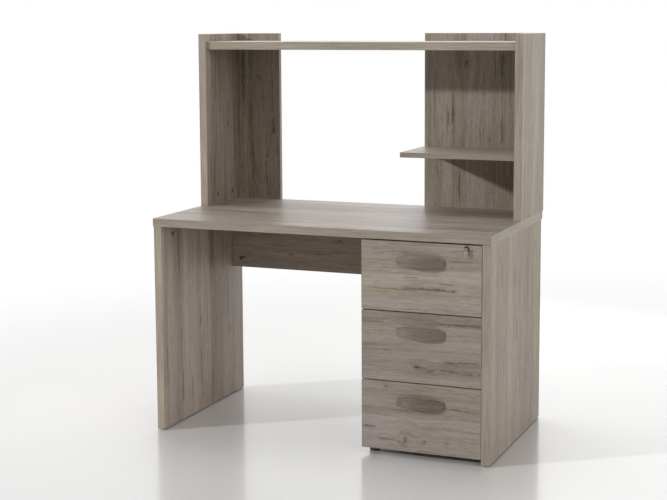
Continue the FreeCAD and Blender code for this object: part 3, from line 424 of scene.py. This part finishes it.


# Each board's tone is matched to how light or dark the board looks, so besides the decor's own variation it
# holds painted light and shade: a lighter tone stands for more light on a board, a darker one for more shade.
def oak_board(node, grain, flat, shift, tone, contrast=1.0, warmth_and_bounce=0.0, lipping_tone_and_shade=1.0, gloss=0.18,
              heart=HEART_STRENGTH, knots=(), cracks=()):
    """Dresses a board in the decor. grain is the axis it runs along, flat the axis its faces look along.

    A knot is its place along and across the grain, its length and its width. A crack is where it starts,
    its length and its width.
    """
    material, recipe, shader = new_material(node + "_decor", Specular_IOR_Level=gloss)
    coordinates = recipe.add("ShaderNodeTexCoord").outputs
    place, normal = recipe.parts(coordinates["Object"]), recipe.parts(coordinates["Normal"])
    other = next(axis for axis in AXES if axis not in (grain, flat))
    order = [AXES.index(axis) for axis in (grain, other, flat)]
    where = recipe.join(*(place[index] for index in order))
    wood, marks = knots_and_cracks(recipe, where, knots, cracks, heart)
    decor = oak(recipe, recipe.vector("ADD", wood, shift), contrast, tone, warmth_and_bounce)
    colour, height = decor["Color"], decor["Height"]
    for mask, strength, dark in marks:
        mark = recipe.times(mask, strength)
        colour = recipe.mix(mark, colour, dark)
        height = recipe.math("SUBTRACT", height, mark)
    edge, strip_colour = lipping_on(recipe, node, order, place, normal, recipe.vector("ADD", where, shift),
                                    lipping_tone_and_shade)
    colour = recipe.mix(edge, colour, strip_colour)
    height = recipe.times(height, recipe.math("SUBTRACT", 1.0, edge))
    recipe.send(shader.inputs, Base_Color=colour, Roughness=decor["Roughness"],
                Normal=recipe.bump(height, RELIEF_DEPTH, RELIEF_STRENGTH))
    dress(node, material)


def dress(node, material):
    """Gives one of the frame's own pieces its finish."""
    mesh = NODES[node].data
    mesh.materials.clear()
    mesh.materials.append(material)
    for face in mesh.polygons:
        face.material_index = 0


def dress_desk():
    """The desk's boards, with the knots and cracks that show in them."""
    oak_board("worktop", "x", "z", (0.0, 0.0, 0.0), 0.87, 3.0, lipping_tone_and_shade=0.79, gloss=0.5,
              knots=((-0.18, 0.19, 0.020, 0.008), (0.31, -0.12, 0.024, 0.010), (-0.47, -0.19, 0.016, 0.007)),
              cracks=((-0.42, -0.03, 0.30, 0.0016), (0.05, 0.03, 0.24, 0.0016), (0.22, -0.24, 0.20, 0.0014)))
    # the left panel's high tone is painted light: it stands for the light that reaches its inner face
    oak_board("left_side_panel", "z", "x", (1.7, 0.4, 0.0), 1.29, 1.5, warmth_and_bounce=0.06,
              knots=((0.120, 0.066, 0.030, 0.010), (0.340, -0.030, 0.028, 0.009),
                     (0.262, 0.205, 0.026, 0.009)),
              cracks=((0.50, -0.190, 0.22, 0.0028), (0.12, -0.285, 0.20, 0.0026), (0.27, 0.190, 0.24, 0.0024),
                      (0.48, 0.072, 0.22, 0.0034), (0.05, -0.172, 0.14, 0.0028),
                      (0.08, -0.030, 0.20, 0.0022), (0.05, -0.100, 0.10, 0.0024)))
    oak_board("right_side_panel", "z", "x", (3.1, 1.3, 0.0), 0.96, 1.8, warmth_and_bounce=0.11, lipping_tone_and_shade=0.91,
              knots=((0.374, 0.061, 0.024, 0.008), (0.385, 0.002, 0.030, 0.008)),
              cracks=((0.44, 0.140, 0.20, 0.0034), (0.55, -0.186, 0.12, 0.0030), (0.52, -0.033, 0.10, 0.0036),
                      (0.34, 0.003, 0.10, 0.0026), (0.22, -0.151, 0.20, 0.0026), (0.12, 0.130, 0.24, 0.0024),
                      (0.26, 0.060, 0.12, 0.0022)))
    oak_board("modesty_panel", "x", "y", (5.2, 2.1, 0.0), 1.28, 1.3, warmth_and_bounce=0.10,
              knots=((-0.332, 0.554, 0.020, 0.008), (-0.133, 0.615, 0.018, 0.010),
                     (-0.528, 0.534, 0.018, 0.014)))
    oak_board("pedestal_side_panel", "z", "x", (6.4, 2.9, 0.0), 0.92, 1.3)
    oak_board("pedestal_bottom_panel", "x", "z", (7.9, 3.7, 0.0), 0.92)


def dress_hutch():
    """The hutch's boards."""
    oak_board("hutch_left_side", "z", "x", (9.3, 4.2, 0.0), 0.86, 1.7, warmth_and_bounce=0.08, lipping_tone_and_shade=0.94,
              knots=((1.040, 0.218, 0.026, 0.010), (0.770, 0.235, 0.014, 0.008)),
              cracks=((0.96, 0.225, 0.20, 0.0026), (1.10, 0.120, 0.18, 0.0024), (0.80, 0.075, 0.16, 0.0022)))
    oak_board("hutch_right_side", "z", "x", (10.8, 5.1, 0.0), 0.92, 1.6, warmth_and_bounce=0.09, lipping_tone_and_shade=0.92,
              knots=((1.045, 0.177, 0.030, 0.008),),
              cracks=((0.98, 0.175, 0.22, 0.0024), (0.80, 0.260, 0.20, 0.0022)))
    oak_board("hutch_top_shelf", "x", "z", (12.1, 6.3, 0.0), 0.92, 1.2, lipping_tone_and_shade=0.86, gloss=0.35)
    oak_board("hutch_left_back", "z", "y", (13.6, 7.0, 0.0), 0.91, 1.4, warmth_and_bounce=0.08,
              knots=((1.213, -0.493, 0.022, 0.009), (1.010, -0.435, 0.026, 0.012)),
              cracks=((1.08, -0.560, 0.24, 0.0050), (0.80, -0.520, 0.18, 0.0026)))
    oak_board("hutch_right_back", "z", "y", (15.2, 8.4, 0.0), 0.94, 1.4, warmth_and_bounce=0.04, heart=FAINT_HEART,
              knots=((1.273, 0.325, 0.034, 0.020), (1.090, 0.2755, 0.100, 0.014),
                     (0.9985, 0.414, 0.018, 0.010)),
              cracks=((1.20, 0.455, 0.11, 0.0036), (0.97, 0.458, 0.13, 0.0034), (0.76, 0.300, 0.14, 0.0030),
                      (1.02, 0.2755, 0.15, 0.0018)))
    oak_board("hutch_small_shelf", "x", "z", (16.5, 9.2, 0.0), 1.28, 1.2, lipping_tone_and_shade=0.72, gloss=0.35)


def dress_fronts():
    """The three drawer fronts, each with its grain from side to side."""
    oak_board("bottom_drawer_front", "x", "y", (18.0, 10.1, 0.0), 0.88, 1.1, lipping_tone_and_shade=0.75, heart=0.45,
              knots=((0.251, 0.236, 0.018, 0.008), (0.181, 0.097, 0.030, 0.010), (0.318, 0.060, 0.016, 0.034),
                     (0.462, 0.063, 0.010, 0.009), (0.385, 0.062, 0.014, 0.010)),
              cracks=((0.17, 0.094, 0.05, 0.0016),))
    oak_board("middle_drawer_front", "x", "y", (19.7, 11.4, 0.0), 1.02, 1.1, lipping_tone_and_shade=0.75,
              knots=((0.3585, 0.309, 0.028, 0.016),),
              cracks=((0.375, 0.456, 0.24, 0.0030), (0.425, 0.333, 0.17, 0.0032),
                      (0.33, 0.307, 0.07, 0.0016)))
    oak_board("top_drawer_front", "x", "y", (21.3, 12.2, 0.0), 1.00, 1.1, lipping_tone_and_shade=0.55,
              knots=((0.480, 0.566, 0.012, 0.007),),
              cracks=((0.165, 0.561, 0.20, 0.0014), (0.28, 0.566, 0.22, 0.0048),
                      (0.312, 0.602, 0.05, 0.0012)))


# ------------------------------------------------------------------ handles, boxes and fittings
HANDLE_TONE_AND_SHADE, HANDLE_WARMTH, HANDLE_CONTRAST = 0.48, 0.08, 1.5
# darker and paler colour, mottles a metre, unevenness, roughness, and 1 for bare metal
PLAIN_FINISHES = {
    "box_melamine": (srgb(200, 197, 191), srgb(206, 203, 197), 380.0, 0.00004, 0.42, 0),
    "hardboard": (srgb(114, 88, 64), srgb(140, 112, 84), 420.0, 0.0003, 0.75, 0),
    "beech": (srgb(190, 158, 118), srgb(208, 178, 138), 300.0, 0.0002, 0.65, 0),
    # the cams' zinc is dark zinc, darkened further as painted shade, since bare metal here shows the white
    # room in its gloss
    "zinc": (srgb(84, 75, 66), srgb(104, 95, 85), 900.0, 0.0001, 0.38, 1),
    "fitting_steel": (grey(0.50), grey(0.58), 700.0, 0.0001, 0.30, 1),
    "runner_coat": (srgb(226, 225, 220), srgb(234, 233, 228), 350.0, 0.0001, 0.35, 0),
    "roller_nylon": (srgb(222, 220, 214), srgb(232, 230, 226), 200.0, 0.0001, 0.5, 0),
    "glide_plastic": (srgb(70, 60, 52), srgb(82, 72, 62), 400.0, 0.0001, 0.6, 0),
    "foot_plastic": (grey(0.015), grey(0.03), 500.0, 0.0002, 0.55, 0),
    # the lock's rosette and plug are darkened as painted reflection, standing for metal that mirrors a dark
    # room; the key's wood-brown colour is painted reflection of the wood around it
    "lock_nickel_painted_dark": (srgb(96, 88, 78), srgb(112, 104, 94), 500.0, 0.00005, 0.25, 1),
    "plug_steel_painted_dark": (srgb(58, 50, 43), srgb(76, 68, 60), 700.0, 0.00005, 0.35, 1),
    "key_steel_painted_reflection": (srgb(126, 118, 106), srgb(146, 138, 126), 600.0, 0.0001, 0.42, 1)}
# which of the frame's pieces take which finish
FINISH_OF = {"panel_glides": "glide_plastic", "pedestal_feet": "foot_plastic", "cam_fittings": "zinc",
             "cam_bolts": "fitting_steel", "dowels": "beech", "pedestal_back_panel": "hardboard",
             "lock_strike": "plug_steel_painted_dark", "lock_case": "lock_nickel_painted_dark", "lock_plug": "plug_steel_painted_dark",
             "lock_lever": "fitting_steel", "key_blade": "key_steel_painted_reflection", "key_bow": "key_steel_painted_reflection"}
LEVEL_FINISH_OF = {"drawer_left_side": "box_melamine", "drawer_right_side": "box_melamine",
                   "drawer_back": "box_melamine", "drawer_bottom": "box_melamine",
                   "drawer_handle": "handle_decor", "drawer_handle_screws": "fitting_steel",
                   "drawer_left_rail": "runner_coat", "drawer_right_rail": "runner_coat",
                   "drawer_rollers": "roller_nylon", "channels": "runner_coat",
                   "channel_rollers": "roller_nylon"}


def handle_finish():
    """The decor in a darker tone, wrapped around the handles with its grain along them. The darker tone is
    partly the handles' own colour and partly painted shade, standing for the shade on their right halves.
    """
    material, recipe, shader = new_material("handle_decor", Specular_IOR_Level=0.3)
    x, _, z = recipe.parts(recipe.place())
    decor = oak(recipe, recipe.join(x, z, 0.0), HANDLE_CONTRAST, HANDLE_TONE_AND_SHADE, HANDLE_WARMTH)
    recipe.send(shader.inputs, Base_Color=decor["Color"], Roughness=decor["Roughness"],
                Normal=recipe.bump(decor["Height"], RELIEF_DEPTH, RELIEF_STRENGTH))
    return material


def plain_finish(name, dark, pale, mottles, unevenness, roughness, metal):
    """A finish with a fine mottle between two colours, and a matching unevenness."""
    material, recipe, shader = new_material(name, Roughness=roughness, Metallic=metal)
    mottle = recipe.noise(recipe.place(), (mottles, mottles, mottles), 3.0, 0.6)
    recipe.send(shader.inputs, Base_Color=recipe.ramp(mottle, (0.35, dark), (0.65, pale)),
                Normal=recipe.bump(mottle, unevenness, 0.5))
    return material


def make_finishes():
    finishes = {name: plain_finish(name, *looks) for name, looks in PLAIN_FINISHES.items()}
    finishes["handle_decor"] = handle_finish()
    return finishes


def dress_fittings(finishes):
    for node, name in FINISH_OF.items():
        dress(node, finishes[name])
    for level in LEVELS:
        for node, name in LEVEL_FINISH_OF.items():
            dress(f"{level}_{node}", finishes[name])


# ------------------------------------------------------------------ modelling by hand
# turns an upright piece so that its tip points along an axis
FACING = {"+x": Matrix.Rotation(math.pi/2, 4, "Y"), "-x": Matrix.Rotation(-math.pi/2, 4, "Y"),
          "+y": Matrix.Rotation(-math.pi/2, 4, "X"), "-y": Matrix.Rotation(math.pi/2, 4, "X"),
          "+z": Matrix.Identity(4), "-z": Matrix.Rotation(math.pi, 4, "X")}
MERGE = 1e-6
SHARP = math.radians(30.0)
FINE_EDGE = 0.0001
CROSS_TAPER = 0.55


def take(piece):
    """Selects one piece and nothing else."""
    bpy.ops.object.select_all(action="DESELECT")
    piece.select_set(True)
    bpy.context.view_layer.objects.active = piece


def pick_faces(test):
    """In edit mode, selects the faces whose middle and normal pass the test, and nothing else."""
    bpy.ops.mesh.select_mode(type="FACE")
    bpy.ops.mesh.select_all(action="DESELECT")
    mesh = bmesh.from_edit_mesh(bpy.context.edit_object.data)
    for face in mesh.faces:
        face.select_set(bool(test(face.calc_center_median(), face.normal)))
    bmesh.update_edit_mesh(bpy.context.edit_object.data)


def tidy_mesh():
    """In edit mode, joins what touches and turns every face outwards."""
    bpy.ops.mesh.select_mode(type="VERT")
    bpy.ops.mesh.select_all(action="SELECT")
    bpy.ops.mesh.remove_doubles(threshold=MERGE)
    bpy.ops.mesh.normals_make_consistent(inside=False)


def draw_up(radius, height, steps):
    """In edit mode, draws what is selected up through (radius, height) steps."""
    for next_radius, next_height in steps:
        bpy.ops.mesh.extrude_region_move(TRANSFORM_OT_translate={"value": (0, 0, next_height - height)})
        ratio = next_radius/radius
        bpy.ops.transform.resize(value=(ratio, ratio, 1.0), center_override=(0, 0, next_height))
        radius, height = next_radius, next_height


def turned(name, profile, sides=32, hole=False):
    """A round piece, with its axis upright.

    profile lists (radius, height) from the middle of its foot to the middle of its tip, or once around its
    section where it has a hole.
    """
    (radius, height), *steps = profile
    bpy.ops.object.select_all(action="DESELECT")
    filling = "NOTHING" if hole else "NGON"
    bpy.ops.mesh.primitive_circle_add(vertices=sides, radius=radius, fill_type=filling, enter_editmode=True)
    bpy.ops.mesh.select_mode(type="VERT")
    bpy.ops.mesh.select_all(action="SELECT")
    bpy.ops.transform.translate(value=(0, 0, height))
    draw_up(radius, height, [*steps, profile[0]] if hole else steps)
    tidy_mesh()
    bpy.ops.object.mode_set(mode="OBJECT")
    piece = bpy.context.object
    piece.name = name
    return piece


def soften(piece, width=FINE_EDGE):
    """Breaks the sharp edges and shades the rest smooth."""
    take(piece)
    bevel = piece.modifiers.new("edge_break", "BEVEL")
    bevel.width = width
    bevel.segments = 1
    bevel.limit_method = "ANGLE"
    bevel.angle_limit = SHARP
    bpy.ops.object.modifier_apply(modifier=bevel.name)
    bpy.ops.object.shade_smooth_by_angle(angle=SHARP)


def cut_cross(piece, top, length, width, depth):
    """Cuts a tapered cross recess into the tip of a head."""
    for size_x, size_y in ((length, width), (width, length)):
        bpy.ops.object.select_all(action="DESELECT")
        bpy.ops.mesh.primitive_cube_add(size=1.0, enter_editmode=True)
        bpy.ops.transform.resize(value=(size_x, size_y, 2*depth))
        bpy.ops.transform.translate(value=(0, 0, top))
        pick_faces(lambda middle, normal: normal.z < -0.9)
        bpy.ops.transform.resize(value=(CROSS_TAPER, CROSS_TAPER, 1.0), center_override=(0, 0, top - depth))
        bpy.ops.object.mode_set(mode="OBJECT")
        cutter = bpy.context.object
        take(piece)
        cut = piece.modifiers.new("cross", "BOOLEAN")
        cut.object = cutter
        cut.operation = "DIFFERENCE"
        bpy.ops.object.modifier_apply(modifier=cut.name)
        bpy.data.objects.remove(cutter)


def stand_copy(model, name, point, facing):
    """A copy of a model with its own mesh, its foot at a point and its tip towards facing."""
    take(model)
    bpy.ops.object.duplicate()
    piece = bpy.context.object
    piece.name = name
    piece.matrix_world = Matrix.Translation(point) @ FACING[facing]
    bpy.ops.object.transform_apply()
    return piece


def fit(piece, body, slot, material, *nodes):
    """Gives a piece its finish and its body, in place of the nodes it stands for."""
    piece.data.materials.clear()
    piece.data.materials.append(material)
    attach(piece, body)
    if nodes:
        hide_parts(*nodes)


def loose_parts(node):
    """The lowest and highest corners of each separate part in a node."""
    mesh = bmesh.new()
    mesh.from_mesh(NODES[node].data)
    bmesh.ops.remove_doubles(mesh, verts=mesh.verts, dist=MERGE)
    waiting = set(mesh.verts)
    found = []
    while waiting:
        reached = [waiting.pop()]
        for corner in reached:
            for edge in corner.link_edges:
                other = edge.other_vert(corner)
                if other in waiting:
                    waiting.remove(other)
                    reached.append(other)
        found.append(tuple(tuple(round(pick(corner.co[axis] for corner in reached), 6) for axis in range(3))
                           for pick in (min, max)))
    mesh.free()
    return sorted(found)


def middle_of(low, high):
    return Vector([(a + b)/2 for a, b in zip(low, high)])


def foot_of(low, high, axis, level):
    """The middle of a box, moved along one axis to a level."""
    foot = middle_of(low, high)
    foot[axis] = level
    return foot


# ------------------------------------------------------------------ small hardware
X, Y, Z = range(3)
BOARD_ENDINGS = ("_panel", "_side", "_shelf", "_back")
BOARDS = [name for name in NODES if name.endswith(BOARD_ENDINGS) or name == "worktop"]

# profiles list (radius, height)
CAM_PROFILE = ((0.0070, 0.0), (0.0075, 0.0005), (0.0075, 0.0120), (0.0071, 0.0125), (0.0058, 0.0125),
               (0.0054, 0.0119))
CAM_CROSS = {"top": 0.0119, "length": 0.0074, "width": 0.0016, "depth": 0.0030}
FOOT_PROFILE = ((0.0150, 0.0), (0.0172, 0.0007), (0.0180, 0.0022), (0.0180, 0.0042), (0.0166, 0.0050),
                (0.0166, 0.0200), (0.0180, 0.0210), (0.0180, 0.0244), (0.0174, 0.0250), (0.0024, 0.0250),
                (0.0024, 0.0390))
FOOT_SIDES = 40
FOOT_WAIST_FROM, FOOT_WAIST_TO, FOOT_STEM_RADIUS = 0.006, 0.019, 0.01
RIB_INSET, RIB_HEIGHT, FOOT_EDGE = 0.0003, 0.0010, 0.0002
GLIDE_PROFILE = ((0.0080, 0.0), (0.0094, 0.0004), (0.0100, 0.0013), (0.0100, 0.0023), (0.0096, 0.0030),
                 (0.0012, 0.0030), (0.0012, 0.0180), (0.0003, 0.0190))
SCREW_PROFILE = ((0.0010, 0.0), (0.0019, 0.0009), (0.0019, 0.0250), (0.0040, 0.0250), (0.0040, 0.0256),
                 (0.0034, 0.0268), (0.0022, 0.0274), (0.0012, 0.0275))
SCREW_CROSS = {"top": 0.0275, "length": 0.0044, "width": 0.0011, "depth": 0.0016}
ROLLER_PROFILE = ((0.00256, 0.0), (0.0042, 0.0), (0.0047, 0.0009), (0.0076, 0.0009), (0.0080, 0.0002),
                  (0.0095, 0.0002), (0.0100, 0.0007), (0.0100, 0.0053), (0.0095, 0.0058), (0.0080, 0.0058),
                  (0.0076, 0.0051), (0.0047, 0.0051), (0.0042, 0.0060), (0.00256, 0.0060))
ROLLER_HALF_WIDTH = 0.0030
ROSETTE_PROFILE = ((0.0056, 0.0005), (0.0060, 0.0001), (0.0066, 0.0), (0.0088, 0.0), (0.0096, 0.0004),
                   (0.0100, 0.0011), (0.0100, 0.0020), (0.0080, 0.0020))
TUBE_RADIUS, TUBE_END_RADIUS, TUBE_BORE, TUBE_CHAMFER = 0.0080, 0.0076, 0.0056, 0.0004
LOCK_SIDES = 48
# the key bow's leaf is what lies under its hinge
BOW_LEAF_TOP, BOW_FLATNESS = 0.700, math.radians(1.0)
BOW_RIM, BOW_RIM_SLOPE, BOW_RIM_HEIGHT, BOW_EDGE = 0.0011, 0.0003, 0.0003, 0.00015
NAIL_PROFILE = ((0.0008, -0.0025), (0.0008, 0.0), (0.0024, 0.0), (0.0024, 0.0002), (0.0016, 0.0006),
                (0.0005, 0.0007))
NAIL_SIDES, NAIL_EDGE = 16, 0.00005
NAIL_MARGIN, UPRIGHT_SPACES = 0.03, 6
NAIL_STEP, BOTTOM_NAILS = 0.065, 5


def open_side(low, high):
    """The axis a cam's hole is bored along, and the side it opens to."""
    axis = min(range(3), key=lambda index: high[index] - low[index])
    middle = middle_of(low, high)
    for board in BOARDS:
        board_low, board_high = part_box(board)
        if all(board_low[index] <= middle[index] <= board_high[index] for index in range(3)):
            below, above = low[axis] - board_low[axis], board_high[axis] - high[axis]
            return axis, "-" if below < above else "+"
    return axis, "+"


def model_cams(zinc):
    """The cam discs that lock the boards together, with a cross for the screwdriver."""
    model = turned("cam_model", CAM_PROFILE)
    cut_cross(model, **CAM_CROSS)
    soften(model)
    for count, (low, high) in enumerate(loose_parts("cam_fittings"), start=1):
        axis, side = open_side(low, high)
        foot = foot_of(low, high, axis, high[axis] if side == "-" else low[axis])
        piece = stand_copy(model, f"cam_fitting_{count:02d}", foot, side + AXES[axis])
        fit(piece, "carcass", "zinc", zinc, "cam_fittings")
    bpy.data.objects.remove(model)


def model_feet(plastic):
    """The pedestal's feet, with a ribbed waist to turn them by."""
    model = turned("foot_model", FOOT_PROFILE, FOOT_SIDES)
    take(model)
    bpy.ops.object.mode_set(mode="EDIT")
    step = 2*math.pi/FOOT_SIDES
    pick_faces(lambda middle, normal: abs(normal.z) < 0.1 and FOOT_WAIST_FROM < middle.z < FOOT_WAIST_TO
               and middle.xy.length > FOOT_STEM_RADIUS
               and round(math.atan2(middle.y, middle.x)/step - 0.5) % 2 == 0)
    bpy.ops.mesh.inset(use_individual=True, thickness=RIB_INSET, depth=RIB_HEIGHT)
    bpy.ops.object.mode_set(mode="OBJECT")
    soften(model, FOOT_EDGE)
    for end, (low, high) in zip(("front", "rear"), loose_parts("pedestal_feet")):
        piece = stand_copy(model, f"pedestal_foot_{end}", foot_of(low, high, Z, low[Z]), "+z")
        fit(piece, "carcass", "foot", plastic, "pedestal_feet")
    bpy.data.objects.remove(model)


def model_glides(plastic):
    """The nail-on glides under the side panels."""
    model = turned("glide_model", GLIDE_PROFILE)
    soften(model)
    for count, (low, high) in enumerate(loose_parts("panel_glides"), start=1):
        piece = stand_copy(model, f"panel_glide_{count}", foot_of(low, high, Z, low[Z]), "+z")
        fit(piece, "carcass", "glide", plastic, "panel_glides")
    bpy.data.objects.remove(model)


def model_handle_screws(steel):
    """The handles' pan-head screws, whose heads lie behind the drawer fronts."""
    model = turned("screw_model", SCREW_PROFILE)
    cut_cross(model, **SCREW_CROSS)
    soften(model)
    for level in LEVELS:
        node = level + "_drawer_handle_screws"
        for side, (low, high) in zip(SIDES, loose_parts(node)):
            piece = stand_copy(model, f"{level}_handle_screw_{side}", foot_of(low, high, Y, low[Y]), "+y")
            fit(piece, level + "_drawer", "fitting_steel", steel, node)
    bpy.data.objects.remove(model)


def model_rollers(nylon):
    """The runners' rollers: a tyre, a thin web and a hub."""
    model = turned("roller_model", ROLLER_PROFILE, hole=True)
    soften(model)
    for level in LEVELS:
        for kind in ("channel", "drawer"):
            node = f"{level}_{kind}_rollers"
            for side, (low, high) in zip(SIDES, loose_parts(node)):
                foot = middle_of(low, high)
                foot.x -= ROLLER_HALF_WIDTH
                piece = stand_copy(model, f"{level}_{kind}_roller_{side}", foot, "+x")
                fit(piece, node, "roller", nylon, node)
    bpy.data.objects.remove(model)


def model_lock(nickel_painted_dark):
    """The lock's rosette and the tube behind it."""
    low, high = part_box("lock_case")
    depth = high[Y] - low[Y]
    tube = ((TUBE_RADIUS, depth - TUBE_CHAMFER), (TUBE_END_RADIUS, depth), (TUBE_BORE, depth))
    model = turned("lock_rosette", ROSETTE_PROFILE + tube, LOCK_SIDES, hole=True)
    soften(model)
    piece = stand_copy(model, "lock_rosette_and_tube", foot_of(low, high, Y, low[Y]), "+y")
    fit(piece, "top_drawer", "lock_metal", nickel_painted_dark, "lock_case")
    bpy.data.objects.remove(model)


def model_key_bow(metal):
    """The key's stamped bow, with a raised rim around both of its faces."""
    piece = bpy.data.objects.new("key_bow_stamped", NODES["key_bow"].data.copy())
    bpy.context.collection.objects.link(piece)
    take(piece)
    bpy.ops.object.mode_set(mode="EDIT")
    tidy_mesh()
    bpy.ops.mesh.dissolve_limited(angle_limit=BOW_FLATNESS)
    pick_faces(lambda middle, normal: abs(normal.y) > 0.99 and middle.z < BOW_LEAF_TOP)
    bpy.ops.mesh.inset(thickness=BOW_RIM, depth=0.0, use_outset=False)
    bpy.ops.mesh.inset(thickness=BOW_RIM_SLOPE, depth=-BOW_RIM_HEIGHT)
    bpy.ops.object.mode_set(mode="OBJECT")
    soften(piece, BOW_EDGE)
    fit(piece, "key_bow", "key_metal", metal, "key_bow")


def nail_back_sheet(steel):
    """Flat-headed nails that hold the back sheet to the pedestal's side and bottom."""
    model = turned("nail_model", NAIL_PROFILE, NAIL_SIDES)
    soften(model, NAIL_EDGE)
    sheet_low, sheet_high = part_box("pedestal_back_panel")
    side_low, side_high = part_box("pedestal_side_panel")
    bottom_low, bottom_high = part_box("pedestal_bottom_panel")
    column = (side_low[X] + side_high[X])/2
    row = (bottom_low[Z] + bottom_high[Z])/2
    span = sheet_high[Z] - sheet_low[Z] - 2*NAIL_MARGIN
    places = [(column, sheet_low[Z] + NAIL_MARGIN + share*span/UPRIGHT_SPACES)
              for share in range(UPRIGHT_SPACES + 1)]
    places += [(column + NAIL_STEP*step, row) for step in range(1, BOTTOM_NAILS + 1)]
    for count, (x, z) in enumerate(places, start=1):
        piece = stand_copy(model, f"back_sheet_nail_{count:02d}", (x, sheet_high[Y], z), "+y")
        fit(piece, "carcass", "fitting_steel", steel)
    bpy.data.objects.remove(model)


# ------------------------------------------------------------------ the scene
bpy.ops.object.select_all(action="DESELECT")
scene.view_settings.view_transform = "Standard"
set_camera()
stage_floor()
light_room()
light_lamps()
dress_desk()
dress_hutch()
dress_fronts()
finishes = make_finishes()
dress_fittings(finishes)
model_cams(finishes["zinc"])
model_feet(finishes["foot_plastic"])
model_glides(finishes["glide_plastic"])
model_handle_screws(finishes["fitting_steel"])
model_rollers(finishes["roller_nylon"])
model_lock(finishes["lock_nickel_painted_dark"])
model_key_bow(finishes["key_steel_painted_reflection"])
nail_back_sheet(finishes["fitting_steel"])
